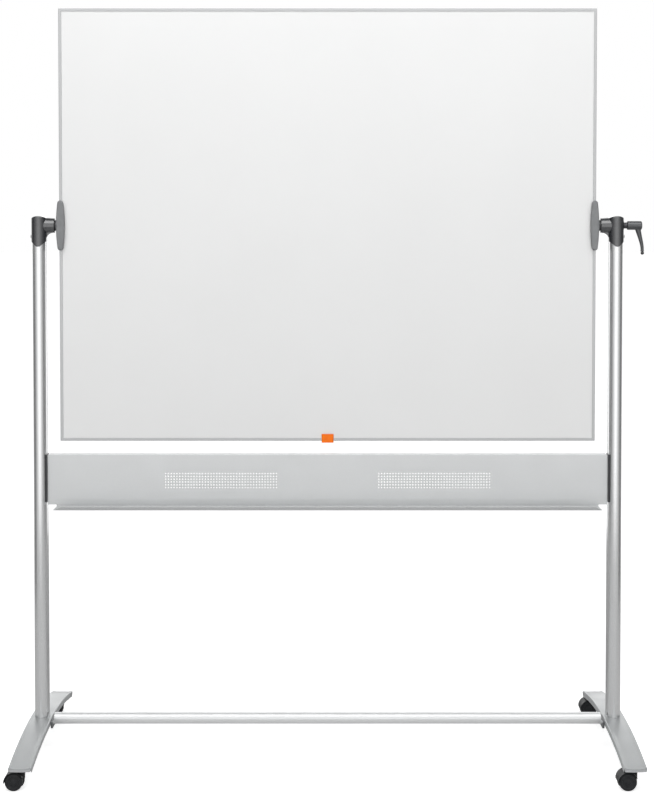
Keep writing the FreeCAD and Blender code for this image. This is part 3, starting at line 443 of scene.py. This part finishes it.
def button_screw(seat, axis, head_radius, head_height, shank_radius, length, key):
    """A button-head screw. The axis points out of its head, and key is the hexagon's width."""
    pocket = head_height * 0.35
    rows = [(shank_radius - 0.3 * MM, -length, 0), (shank_radius, -length + 0.4 * MM, 0),
            (shank_radius, 0, 0), (head_radius - 0.2 * MM, 0, 0), (head_radius, 0.2 * MM, 0)]
    for share in (0.0, 0.2, 0.4, 0.6, 0.8, 1.0):
        lean = math.radians(72 * share)
        rows.append((key * 0.62 + (head_radius - key * 0.62) * math.cos(lean),
                     0.3 * MM + (head_height - 0.3 * MM) * math.sin(lean) / 0.9511, 0))
    rows += [(key * 0.60, head_height, 0), (key / 2, head_height - 0.2 * MM, 6),
             (key / 2, pocket, 6), (0, pocket, 0)]
    return turned(rows, seat, axis)


def hexagon_nut(seat, axis, width, height, bore):
    """A chamfered hexagon nut that stands on its seat."""
    half = width / 2
    rows = [(bore, 0, 0), (half * 0.97, 0, 0), (half, 0.5 * MM, 6), (half, height - 0.6 * MM, 6),
            (half * 0.97, height, 0), (bore + 0.4 * MM, height, 0), (bore, height - 0.4 * MM, 0)]
    return turned(rows + rows[:1], seat, axis)


low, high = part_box("right_crossbar_plate")
PLATE_NEAR_X, PLATE_FAR_X = low.x, high.x
BAR_BOLT_Y, BAR_BOLT_Z = 32.0 * MM, 88.5 * MM
BAR_BOLT_RADIUS, BAR_BOLT_LENGTH, BAR_BOLT_KEY = 3.9 * MM, 13.0 * MM, 4.0 * MM
BAR_HEAD_RADIUS, BAR_HEAD_HEIGHT = 5.5 * MM, 3.0 * MM
BAR_NUT_WIDTH, BAR_NUT_HEIGHT = 11.0 * MM, 4.4 * MM
fixings = []
for side in (-1, 1):
    for bolt_y in (-BAR_BOLT_Y, BAR_BOLT_Y):
        seat = Vector((side * PLATE_NEAR_X, bolt_y, BAR_BOLT_Z))
        fixings.append(button_screw(seat, (-side, 0, 0), BAR_HEAD_RADIUS, BAR_HEAD_HEIGHT,
                                    BAR_BOLT_RADIUS, BAR_BOLT_LENGTH, BAR_BOLT_KEY))
        inside = Vector((side * (PLATE_FAR_X + FOOT_WALL), bolt_y, BAR_BOLT_Z))
        fixings.append(hexagon_nut(inside, (side, 0, 0), BAR_NUT_WIDTH, BAR_NUT_HEIGHT,
                                   BAR_BOLT_RADIUS))
fit(new_piece("bar_screws_and_nuts", fixings), PLATED_STEEL, "fastener_steel", "stand",
    "crossbar_bolts")

# ---- The posts ----
# Oval aluminium extrusions, drawn with fine lines along their length and satin anodised. A T-slot
# runs down the inner side. Two bolts from under each foot run up into ports inside the post.

def drawn_metal(name, dark, light, along, rough):
    """Metal with drawing lines along one axis, given as cells to the metre along X, Y and Z."""
    metal = finish(name, light, 0.90, rough, coat=0.15, coat_roughness=0.25)
    tint(metal, dark, light, grain(metal, along, detail=4))
    gloss_drift(metal, rough - 0.05, rough + 0.07, grain(metal, along, detail=3))
    relief(metal, grain(metal, along, detail=2), 0.000012)
    relief(metal, grain(metal, (2200, 2200, 2200), detail=1), 0.000006)
    return metal


POST_ALUMINIUM = drawn_metal("post_aluminium", (0.70, 0.705, 0.71), (0.78, 0.785, 0.79),
                             (1500, 1500, 5), 0.20)
POST_RADIUS = 19.0 * MM
POST_FLAT = 9.0 * MM
SLOT_MOUTH = 3.6 * MM
SLOT_LIP = 2.1 * MM
SLOT_WIDE = 6.5 * MM
SLOT_BACK = 8.0 * MM
LIP_ROUND = 0.5 * MM


def post_outline():
    """The extrusion's outside as (outward, back) points, with the slot on the inner side."""
    outline = arc_points((0, -POST_FLAT), POST_RADIUS, 180, 360, 40)
    outline += arc_points((0, POST_FLAT), POST_RADIUS, 0, 180, 40)
    half_slot = [(-POST_RADIUS, SLOT_MOUTH + LIP_ROUND)]
    half_slot += arc_points((LIP_ROUND - POST_RADIUS, SLOT_MOUTH + LIP_ROUND), LIP_ROUND,
                            180, 270, 4)[1:]
    half_slot += [(SLOT_LIP - POST_RADIUS, SLOT_MOUTH), (SLOT_LIP - POST_RADIUS, SLOT_WIDE),
                  (SLOT_BACK - POST_RADIUS, SLOT_WIDE)]
    outline += half_slot
    outline += [(x, -y) for x, y in reversed(half_slot)]
    return outline


for side, sign in (("left", -1), ("right", 1)):
    node = side + "_post"
    low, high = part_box(node)
    post_x = (low.x + high.x) / 2
    outline = post_outline()
    count = len(outline)
    levels = [low.z + (high.z - low.z) * step / 6 for step in range(7)]
    points = [(post_x + sign * x, y, z) for z in levels for x, y in outline]
    faces = [tuple(range(count)), tuple(range(6 * count, 7 * count))]
    for level in range(6):
        for i in range(count):
            near, after = level * count + i, level * count + (i + 1) % count
            faces.append((near, after, after + count, near + count))
    fit(new_piece(side + "_post_extrusion", [(points, faces)]), POST_ALUMINIUM,
        "post_aluminium", "stand", node)

low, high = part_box("post_bolts")
POST_HEAD_RADIUS, POST_HEAD_HEIGHT = 6.5 * MM, 5.0 * MM
POST_BOLT_RADIUS, POST_BOLT_KEY = 4.0 * MM, 5.0 * MM
bolts = []
for bolt_x in (low.x + POST_HEAD_RADIUS, high.x - POST_HEAD_RADIUS):
    for bolt_y in (low.y + POST_HEAD_RADIUS, high.y - POST_HEAD_RADIUS):
        seat = Vector((bolt_x, bolt_y, low.z + POST_HEAD_HEIGHT))
        bolts.append(button_screw(seat, (0, 0, -1), POST_HEAD_RADIUS, POST_HEAD_HEIGHT,
                                  POST_BOLT_RADIUS, high.z - seat.z, POST_BOLT_KEY))
fit(new_piece("post_screws", bolts), PLATED_STEEL, "fastener_steel", "stand", "post_bolts")

# ---- The panel ----
# One piece of 1.2 mm steel sheet with two zones of square perforations. Its top is folded back,
# its top corners are rounded, and it is powder coated in the same satin silver.

PANEL_SILVER = silver_powder_coat("panel_silver", (0.55, 0.562, 0.566), (0.62, 0.63, 0.634))
SHEET_METAL = 1.2 * MM
low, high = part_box("fascia_panel")
PANEL_HALF, PANEL_LOW, PANEL_HIGH = high.x, low.z, high.z - SHEET_METAL / 2
PANEL_MIDDLE_Y = low.y + SHEET_METAL / 2
RETURN_Y = high.y
PANEL_CORNER = 5.0 * MM
PANEL_BEND = 2.0 * MM
HOLE, HOLE_PITCH = 3.1 * MM, 8.0 * MM
HOLE_COLUMNS, HOLE_ROWS = 40, 6
HOLE_FIRST_X, HOLE_FIRST_Z = 144.0 * MM, 749.5 * MM

hole_x = [HOLE_FIRST_X + column * HOLE_PITCH for column in range(HOLE_COLUMNS)]
hole_z = [HOLE_FIRST_Z + row * HOLE_PITCH for row in range(HOLE_ROWS)]
half_lines = sorted({round(x, 7) for c in hole_x for x in (c - HOLE / 2, c + HOLE / 2)}
                    | {round(PANEL_HALF - PANEL_CORNER + PANEL_CORNER * math.sin(math.radians(a)), 7)
                       for a in range(0, 91, 15)})
lines_x = [-x for x in reversed(half_lines)] + half_lines
lines_z = [PANEL_LOW] + [z for c in hole_z for z in (c - HOLE / 2, c + HOLE / 2)]
lines_z += [PANEL_HIGH - PANEL_CORNER]
flat_half = PANEL_HALF - PANEL_CORNER


def is_hole(x, z):
    return (any(abs(abs(x) - c) < HOLE / 2 for c in hole_x)
            and any(abs(z - c) < HOLE / 2 for c in hole_z))


def corner_height(x):
    """The top of the sheet at a rounded corner."""
    over = abs(x) - flat_half
    return PANEL_HIGH - PANEL_CORNER + math.sqrt(max(0.0, PANEL_CORNER ** 2 - over ** 2))


panel_points, panel_faces = [], []


def panel_quad(corners):
    start = len(panel_points)
    panel_points.extend(corners)
    panel_faces.append((start, start + 1, start + 2, start + 3))


fold = arc_points((PANEL_MIDDLE_Y + PANEL_BEND, PANEL_HIGH - PANEL_BEND), PANEL_BEND, 180, 90, 6)
fold = [(PANEL_MIDDLE_Y, PANEL_HIGH - PANEL_CORNER)] + fold + [(RETURN_Y, PANEL_HIGH)]
for x0, x1 in zip(lines_x, lines_x[1:]):
    for z0, z1 in zip(lines_z, lines_z[1:]):
        if not is_hole((x0 + x1) / 2, (z0 + z1) / 2):
            panel_quad([(x0, PANEL_MIDDLE_Y, z0), (x1, PANEL_MIDDLE_Y, z0),
                        (x1, PANEL_MIDDLE_Y, z1), (x0, PANEL_MIDDLE_Y, z1)])
    if abs(x0 + x1) / 2 < flat_half:
        for (y0, z0), (y1, z1) in zip(fold, fold[1:]):
            panel_quad([(x0, y0, z0), (x1, y0, z0), (x1, y1, z1), (x0, y1, z1)])
    else:
        base = PANEL_HIGH - PANEL_CORNER
        panel_quad([(x0, PANEL_MIDDLE_Y, base), (x1, PANEL_MIDDLE_Y, base),
                    (x1, PANEL_MIDDLE_Y, corner_height(x1)), (x0, PANEL_MIDDLE_Y, corner_height(x0))])
panel = new_piece("perforated_panel", [(panel_points, panel_faces)])
gauge = panel.modifiers.new("sheet_gauge", "SOLIDIFY")
gauge.thickness = SHEET_METAL
gauge.offset = 0
gauge.use_even_offset = True
fit(even_normals(panel), PANEL_SILVER, "silver_paint", "stand", "fascia_panel")

# ---- The pen tray ----
# A folded channel of the same sheet below the panel. Its rear flange is behind the panel on a row
# of welded studs, and its front lip leans out and is cut back at both ends.

TRAY_BEND = 2.2 * MM
LIP_LEAN = math.radians(34)
low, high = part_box("pen_tray")
TRAY_HALF, TRAY_FRONT, TRAY_REAR, TRAY_FLOOR = high.x, low.y, high.y, low.z
TRAY_FLANGE_TOP = high.z
LIP_TOP = TRAY_FLOOR + 11.1 * MM
LIP_HALF = 738.0 * MM
FLANGE_HALF = TRAY_HALF - 4 * MM


def tray_skin(bend, inset):
    """One side of the sheet as (y, z) points, from the rear flange down and round to the lip."""
    skin = [(TRAY_REAR - inset, TRAY_FLANGE_TOP)]
    skin += arc_points((TRAY_REAR - TRAY_BEND, TRAY_FLOOR + TRAY_BEND), bend, 0, -90, 6)
    out_y, out_z = -math.cos(LIP_LEAN), -math.sin(LIP_LEAN)
    edge_z = LIP_TOP + SHEET_METAL * out_z
    bend_y = (TRAY_FRONT - TRAY_BEND * out_y
              + (edge_z - TRAY_FLOOR - TRAY_BEND * (1 + out_z)) * math.tan(LIP_LEAN))
    skin += arc_points((bend_y, TRAY_FLOOR + TRAY_BEND), bend, -90, math.degrees(LIP_LEAN) - 180, 8)
    return skin + [(TRAY_FRONT - inset * out_y, edge_z - inset * out_z)]


def along_tray(share, point):
    y, z = point
    half = TRAY_HALF
    if y > TRAY_REAR - SHEET_METAL * 1.5 and z > TRAY_FLOOR + TRAY_BEND:
        half = FLANGE_HALF
    elif y < TRAY_FRONT / 2:
        rise = max(0.0, z - TRAY_FLOOR - TRAY_BEND) / (LIP_TOP - TRAY_FLOOR - TRAY_BEND)
        half = TRAY_HALF + (LIP_HALF - TRAY_HALF) * rise
    return ((2 * share - 1) * half, y, z)


tray = new_piece("pen_tray_channel", [wall_sweep(tray_skin(TRAY_BEND, 0),
                                                 tray_skin(TRAY_BEND - SHEET_METAL, SHEET_METAL),
                                                 along_tray, 12)])
fit(even_normals(tray), PANEL_SILVER, "silver_paint", "stand", "pen_tray")

# ---- The panel's brackets and nuts ----
# Black nylon angles carry the panel's ends. T-head bolts hold them in the posts' slots, and nuts
# on welded studs hold the panel and its tray from behind.

BRACKET_BLACK = finish("bracket_black", (0.026, 0.027, 0.030), 0.0, 0.42)
tint(BRACKET_BLACK, (0.020, 0.021, 0.024), (0.034, 0.035, 0.038), grain(BRACKET_BLACK, (700, 700, 700)))
relief(BRACKET_BLACK, grain(BRACKET_BLACK, (600, 600, 600), detail=2), 0.00004)
ANGLE_EDGE = 0.5 * MM
for side in ("left", "right"):
    node = side + "_panel_bracket"
    fit(eased_piece(node, side + "_panel_angle", ANGLE_EDGE), BRACKET_BLACK,
        "black_plastic", "stand", node)
dress("slot_bolts", PLATED_STEEL)

low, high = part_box("panel_nuts")
STUD_ROW_Z, ANGLE_STUD_X = 716.0 * MM, 774.0 * MM
ANGLE_GAUGE = 3.1 * MM
STUD_FOOT_Y = low.y
STUD_RADIUS, STUD_POINT, STUD_PROUD = 2.0 * MM, 0.4 * MM, 4.5 * MM
STUD_NUT_WIDTH, STUD_NUT_HEIGHT = 7.0 * MM, 3.2 * MM
places = [(x * MM, STUD_ROW_Z, SHEET_METAL) for x in (-600, -360, -120, 120, 360, 600)]
places += [(side * ANGLE_STUD_X, z * MM, ANGLE_GAUGE) for side in (-1, 1) for z in (735, 815)]
fixings = []
for x, z, clamped in places:
    tip = clamped + STUD_PROUD
    stud = [(0, 0, 0), (STUD_RADIUS, 0, 0), (STUD_RADIUS, tip - STUD_POINT, 0),
            (STUD_RADIUS - STUD_POINT, tip, 0), (0, tip, 0)]
    fixings.append(turned(stud, (x, STUD_FOOT_Y, z), (0, 1, 0)))
    fixings.append(hexagon_nut((x, STUD_FOOT_Y + clamped, z), (0, 1, 0), STUD_NUT_WIDTH,
                               STUD_NUT_HEIGHT, STUD_RADIUS))
fit(new_piece("stud_nuts", fixings), PLATED_STEEL, "fastener_steel", "stand", "panel_nuts")

# ---- The pivot brackets ----
# Cast zinc sleeves over the posts' tops, each with a level arm and a gusset. They are enamelled
# gloss black. A flanged nylon bush lines each arm, and a dome screw locks each sleeve.

CAST_BLACK = finish("cast_black", (0.015, 0.016, 0.019), 0.0, 0.20, coat=1.0, coat_roughness=0.10,
                    specular=1.0)
tint(CAST_BLACK, (0.011, 0.012, 0.015), (0.019, 0.021, 0.024), grain(CAST_BLACK, (60, 60, 60), detail=4))
relief(CAST_BLACK, grain(CAST_BLACK, (320, 320, 320), detail=3), 0.00005)
BUSH_NYLON = finish("bush_nylon", (0.022, 0.022, 0.024), 0.0, 0.48)
tint(BUSH_NYLON, (0.018, 0.018, 0.020), (0.030, 0.030, 0.032), grain(BUSH_NYLON, (500, 500, 500)))
BLACKED_STEEL = finish("blacked_steel", (0.06, 0.06, 0.065), 0.9, 0.34)
tint(BLACKED_STEEL, (0.05, 0.05, 0.055), (0.09, 0.09, 0.095), grain(BLACKED_STEEL, (700, 700, 700)))
CASTING_VOXEL = 0.8 * MM
for side in ("left", "right"):
    node = side + "_pivot_bracket"
    fit(cast_piece(node, side + "_bracket_casting", CASTING_VOXEL, 7), CAST_BLACK,
        "bracket_metal", "stand", node)
    dress(side + "_pivot_bush", BUSH_NYLON)
low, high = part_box("set_screws")
SET_SCREW_Z = (low.z + high.z) / 2
fixings = []
DOME_RADIUS, DOME_HEIGHT = (high.z - low.z) / 2, 3.2 * MM
SET_SCREW_RADIUS, SET_SCREW_LENGTH, SET_SCREW_KEY = 3.0 * MM, 2.2 * MM, 3.0 * MM
for side in (-1, 1):
    seat = Vector((side * (high.x - DOME_HEIGHT), 0, SET_SCREW_Z))
    fixings.append(button_screw(seat, (side, 0, 0), DOME_RADIUS, DOME_HEIGHT, SET_SCREW_RADIUS,
                                SET_SCREW_LENGTH, SET_SCREW_KEY))
fit(new_piece("sleeve_screws", fixings), BLACKED_STEEL, "dark_steel", "stand", "set_screws")

# ---- The board ----
# Two enamelled steel writing faces are bonded to a stiff fibreboard core. Four mitred rails of
# satin anodised aluminium close the edges, on steel corner keys, with a clip on the bottom rail.

ENAMEL = finish("white_enamel", (0.70, 0.70, 0.70), 0.0, 0.20, coat=0.25, coat_roughness=0.08)
tint(ENAMEL, (0.688, 0.691, 0.690), (0.704, 0.707, 0.706), grain(ENAMEL, (3, 3, 3), detail=5))
gloss_drift(ENAMEL, 0.16, 0.26, grain(ENAMEL, (9, 9, 22), detail=6))
relief(ENAMEL, grain(ENAMEL, (140, 140, 140), detail=2), 0.000015)
relief(ENAMEL, grain(ENAMEL, (6, 6, 6), detail=1), 0.00006)
FIBREBOARD = finish("fibreboard", (0.36, 0.24, 0.14), 0.0, 0.85)
tint(FIBREBOARD, (0.30, 0.20, 0.12), (0.42, 0.29, 0.18), grain(FIBREBOARD, (900, 900, 900), detail=4))
relief(FIBREBOARD, grain(FIBREBOARD, (1500, 1500, 1500), detail=3), 0.0001)
dress("front_sheet", ENAMEL)
dress("back_sheet", ENAMEL)
dress("board_core", FIBREBOARD)
dress("corner_keys", PLATED_STEEL)

RAIL_LEVEL = drawn_metal("rail_level", (0.40, 0.405, 0.41), (0.46, 0.465, 0.47),
                         (5, 1500, 1500), 0.34)
RAIL_UPRIGHT = drawn_metal("rail_upright", (0.40, 0.405, 0.41), (0.46, 0.465, 0.47),
                           (1500, 1500, 5), 0.34)
low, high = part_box("frame_top")
BOARD_HALF_X, BOARD_TOP, BOARD_HALF_Y = high.x, high.z, high.y
BOARD_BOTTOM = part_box("frame_bottom")[0].z
RAIL_FACE, RAIL_WALL, RAIL_LIP = 8.0 * MM, 1.4 * MM, 1.5 * MM
RAIL_ROUND = 1.1 * MM


def rail_skin(inset, lip, round_radius):
    """One skin of the rail's U as (depth into the board, y) points."""
    y = BOARD_HALF_Y - lip
    skin = [(RAIL_FACE, 0.25 * MM - y), (RAIL_FACE - 0.25 * MM, -y)]
    centre = (inset + round_radius, round_radius - y)
    skin += arc_points(centre, round_radius, 270, 180, 6)
    return skin + [(x, -y) for x, y in reversed(skin)]


outer = rail_skin(0, 0, RAIL_ROUND)
inner = rail_skin(RAIL_WALL, RAIL_LIP, 0.2 * MM)
inner[0], inner[-1] = (RAIL_FACE, inner[1][1] - 0.25 * MM), (RAIL_FACE, 0.25 * MM - inner[1][1])


def level_rail(edge_z, up):
    def place(share, point):
        depth, y = point
        return ((2 * share - 1) * (BOARD_HALF_X - depth), y, edge_z + up * depth)
    return place


def upright_rail(side):
    def place(share, point):
        depth, y = point
        low_z, high_z = BOARD_BOTTOM + depth, BOARD_TOP - depth
        return (side * (BOARD_HALF_X - depth), y, low_z + (high_z - low_z) * share)
    return place


rails = (("frame_top", level_rail(BOARD_TOP, -1), RAIL_LEVEL),
         ("frame_bottom", level_rail(BOARD_BOTTOM, 1), RAIL_LEVEL),
         ("frame_left", upright_rail(-1), RAIL_UPRIGHT),
         ("frame_right", upright_rail(1), RAIL_UPRIGHT))
for node, place, metal in rails:
    rail = new_piece(node + "_rail", [wall_sweep(outer, inner, place, 8)])
    fit(even_normals(rail), metal, "rail_aluminium", "board", node)

CLIP_ORANGE = finish("clip_orange", (0.90, 0.17, 0.004), 0.0, 0.34, specular=0.2)
tint(CLIP_ORANGE, (0.86, 0.155, 0.003), (0.93, 0.185, 0.005), grain(CLIP_ORANGE, (90, 90, 90), detail=3))
relief(CLIP_ORANGE, grain(CLIP_ORANGE, (1200, 1200, 1200), detail=2), 0.00002)
CLIP_EDGE = 1.5 * MM
fit(eased_piece("frame_clip", "bottom_rail_clip", CLIP_EDGE), CLIP_ORANGE,
    "orange_plastic", "board", "frame_clip")

# ---- The saddles and pivot shafts ----
# Grey moulded saddles straddle the side rails and cover the steel shafts' plates. Two screws pull
# each saddle down on its shaft.

SADDLE_GREY = finish("saddle_grey", (0.185, 0.19, 0.195), 0.0, 0.46)
tint(SADDLE_GREY, (0.170, 0.175, 0.180), (0.200, 0.205, 0.210), grain(SADDLE_GREY, (50, 50, 50), detail=4))
relief(SADDLE_GREY, grain(SADDLE_GREY, (1100, 1100, 1100), detail=2), 0.00005)
SADDLE_VOXEL = 0.7 * MM
SADDLE_SCREW_Z = 46.0 * MM
SADDLE_HEAD_RADIUS, SADDLE_HEAD_HEIGHT = 4.6 * MM, 2.4 * MM
SADDLE_SCREW_RADIUS, SADDLE_SCREW_LENGTH, SADDLE_SCREW_KEY = 2.45 * MM, 7.2 * MM, 2.8 * MM
low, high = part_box("saddle_screws")
PIVOT_Z = (low.z + high.z) / 2
fixings = []
for side, sign in (("left", -1), ("right", 1)):
    node = side + "_pivot_saddle"
    fit(cast_piece(node, side + "_saddle_moulding", SADDLE_VOXEL, 4), SADDLE_GREY,
        "grey_plastic", "board", node)
    dress(side + "_pivot_shaft", PLATED_STEEL)
    for offset in (-SADDLE_SCREW_Z, SADDLE_SCREW_Z):
        seat = Vector((sign * (high.x - SADDLE_HEAD_HEIGHT), 0, PIVOT_Z + offset))
        fixings.append(button_screw(seat, (sign, 0, 0), SADDLE_HEAD_RADIUS, SADDLE_HEAD_HEIGHT,
                                    SADDLE_SCREW_RADIUS, SADDLE_SCREW_LENGTH, SADDLE_SCREW_KEY))
fit(new_piece("saddle_button_screws", fixings), PLATED_STEEL, "fastener_steel", "board",
    "saddle_screws")

# ---- The clamping lever ----
# A cast handle with a hub and a curved arm, hammer-grey enamelled, on a steel insert. A spring and
# a socket screw inside the hub pull it home, and a black ball closes the arm's end.

LEVER_GREY = finish("lever_grey", (0.065, 0.068, 0.072), 0.3, 0.28, coat=0.35, coat_roughness=0.12)
tint(LEVER_GREY, (0.052, 0.055, 0.059), (0.080, 0.083, 0.087), grain(LEVER_GREY, (420, 420, 420), detail=3))
relief(LEVER_GREY, grain(LEVER_GREY, (500, 500, 500), detail=2), 0.00008)
TIP_BLACK = finish("tip_black", (0.022, 0.022, 0.024), 0.0, 0.18, coat=0.5, coat_roughness=0.06)
tint(TIP_BLACK, (0.019, 0.019, 0.021), (0.028, 0.028, 0.030), grain(TIP_BLACK, (300, 300, 300)))
LEVER_VOXEL = 0.5 * MM
fit(cast_piece("lever_handle", "lever_casting", LEVER_VOXEL, 7), LEVER_GREY,
    "lever_metal", "lever_grip", "lever_handle")
dress("lever_insert", BLACKED_STEEL)
dress("lever_screw", BLACKED_STEEL)
low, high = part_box("lever_spring")
coil = new_piece("lever_coil", [node_form("lever_spring")])
fit(coil, PLATED_STEEL, "shaft_steel", "lever_stud", "lever_spring")
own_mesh(coil)
low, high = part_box("lever_tip")
TIP_RADIUS = (high.x - low.x) / 2
TIP_CENTRE = Vector(((low.x + high.x) / 2, 0, low.z + TIP_RADIUS))
tip_rows = [(0, high.z - TIP_CENTRE.z, 0)]
for step in range(25):
    angle = math.radians(57 - 147 * step / 24)
    tip_rows.append((max(0.0, TIP_RADIUS * math.cos(angle)), TIP_RADIUS * math.sin(angle), 0))
fit(new_piece("lever_ball", [turned(tip_rows, TIP_CENTRE, (0, 0, 1))]), TIP_BLACK,
    "black_plastic", "lever_grip", "lever_tip")

# ---- Floor, light and camera ----
# A plain pale floor in a white room, with one large soft light above and in front. The room is
# bright ahead of the board and darker to the sides, so rounded metal shows its edges.

FLOOR_NEAR = ((-2.6, -3.2), (2.6, 3.0))
FLOOR_REACH = 60.0


def floor_part(name, west, south, east, north):
    corners = [(west, south, 0), (east, south, 0), (east, north, 0), (west, north, 0)]
    ground = bpy.data.meshes.new(name)
    ground.from_pydata(corners, [], [(0, 1, 2, 3)])
    part = bpy.data.objects.new(name, ground)
    bpy.context.scene.collection.objects.link(part)
    part.location.z = -0.5 * MM
    part.data.materials.append(FLOOR_WHITE)
    return part


FLOOR_WHITE = finish("floor_white", (0.90, 0.90, 0.90), 0.0, 0.9, specular=0.1)
lit_floor = FLOOR_WHITE.node_tree.nodes["Principled BSDF"]
lit_floor.inputs["Emission Color"].default_value = (1, 1, 1, 1)
lit_floor.inputs["Emission Strength"].default_value = 0.62
paint, paint_links = FLOOR_WHITE.node_tree.nodes, FLOOR_WHITE.node_tree.links
dull_floor = paint.new("ShaderNodeBsdfDiffuse")
dull_floor.inputs["Color"].default_value = (0.64, 0.64, 0.64, 1)
floor_ray = paint.new("ShaderNodeLightPath")
floor_choice = paint.new("ShaderNodeMixShader")
paint_links.new(floor_ray.outputs["Is Camera Ray"], floor_choice.inputs["Fac"])
paint_links.new(dull_floor.outputs["BSDF"], floor_choice.inputs[1])
paint_links.new(lit_floor.outputs["BSDF"], floor_choice.inputs[2])
paint_links.new(floor_choice.outputs["Shader"], paint["Material Output"].inputs["Surface"])
(west, south), (east, north) = FLOOR_NEAR
floor_part("floor", west, south, east, north)
surround = (("floor_front", -FLOOR_REACH, -FLOOR_REACH, FLOOR_REACH, south),
            ("floor_back", -FLOOR_REACH, north, FLOOR_REACH, FLOOR_REACH),
            ("floor_left", -FLOOR_REACH, south, west, north),
            ("floor_right", east, south, FLOOR_REACH, north))
for name, *extent in surround:
    far_part = floor_part(name, *extent)
    far_part.visible_diffuse = False
    far_part.visible_glossy = False
    far_part.visible_shadow = False


def soft_light(name, width, height, power, place, aim):
    lamp = bpy.data.lights.new(name, "AREA")
    lamp.shape = "RECTANGLE"
    lamp.size = width
    lamp.size_y = height
    lamp.energy = power
    holder = bpy.data.objects.new(name, lamp)
    holder.location = place
    holder.rotation_euler = (Vector(aim) - Vector(place)).to_track_quat("-Z", "Y").to_euler()
    bpy.context.scene.collection.objects.link(holder)


soft_light("overhead", 5.0, 2.6, 105, (0.0, -1.7, 4.1), (0.0, 0.0, 1.5))

world = bpy.data.worlds.new("studio")
bpy.context.scene.world = world
world.use_nodes = True
room, room_links = world.node_tree.nodes, world.node_tree.links
direction = room.new("ShaderNodeTexCoord")
split = room.new("ShaderNodeSeparateXYZ")
facing = room.new("ShaderNodeMapRange")
facing.inputs["From Min"].default_value = -1.0
facing.inputs["From Max"].default_value = 1.0
band = room.new("ShaderNodeValToRGB")
ROOM_BAND = ((0.0, 0.95), (0.10, 0.85), (0.20, 0.36), (0.35, 0.15), (0.50, 0.09), (0.72, 0.18),
             (1.0, 0.50))
ROOM_STRENGTH = 1.6
for place, value in ROOM_BAND:
    stops = band.color_ramp.elements
    stop = stops[int(place)] if place in (0.0, 1.0) else stops.new(place)
    stop.color = (value, value, value, 1)
room_ray = room.new("ShaderNodeLightPath")
choice = room.new("ShaderNodeMixShader")
backdrop = room.new("ShaderNodeBackground")
backdrop.inputs["Color"].default_value = (1, 1, 1, 1)
room["Background"].inputs["Strength"].default_value = ROOM_STRENGTH
room_links.new(direction.outputs["Generated"], split.inputs["Vector"])
room_links.new(split.outputs["Y"], facing.inputs["Value"])
room_links.new(facing.outputs["Result"], band.inputs["Fac"])
room_links.new(band.outputs["Color"], room["Background"].inputs["Color"])
room_links.new(room_ray.outputs["Is Camera Ray"], choice.inputs["Fac"])
room_links.new(room["Background"].outputs["Background"], choice.inputs[1])
room_links.new(backdrop.outputs["Background"], choice.inputs[2])
room_links.new(choice.outputs["Shader"], room["World Output"].inputs["Surface"])

eye = bpy.data.cameras.new("eye")
camera = bpy.data.objects.new("eye", eye)
bpy.context.scene.collection.objects.link(camera)
bpy.context.scene.camera = camera
eye.sensor_width = 36.0
eye.lens = 69.63
eye.shift_y = -0.165
camera.location = (-0.0017, -4.3478, 1.5102)
camera.rotation_euler = (math.radians(90 - 1.88), 0, 0)
bpy.context.scene.view_settings.view_transform = "Standard"
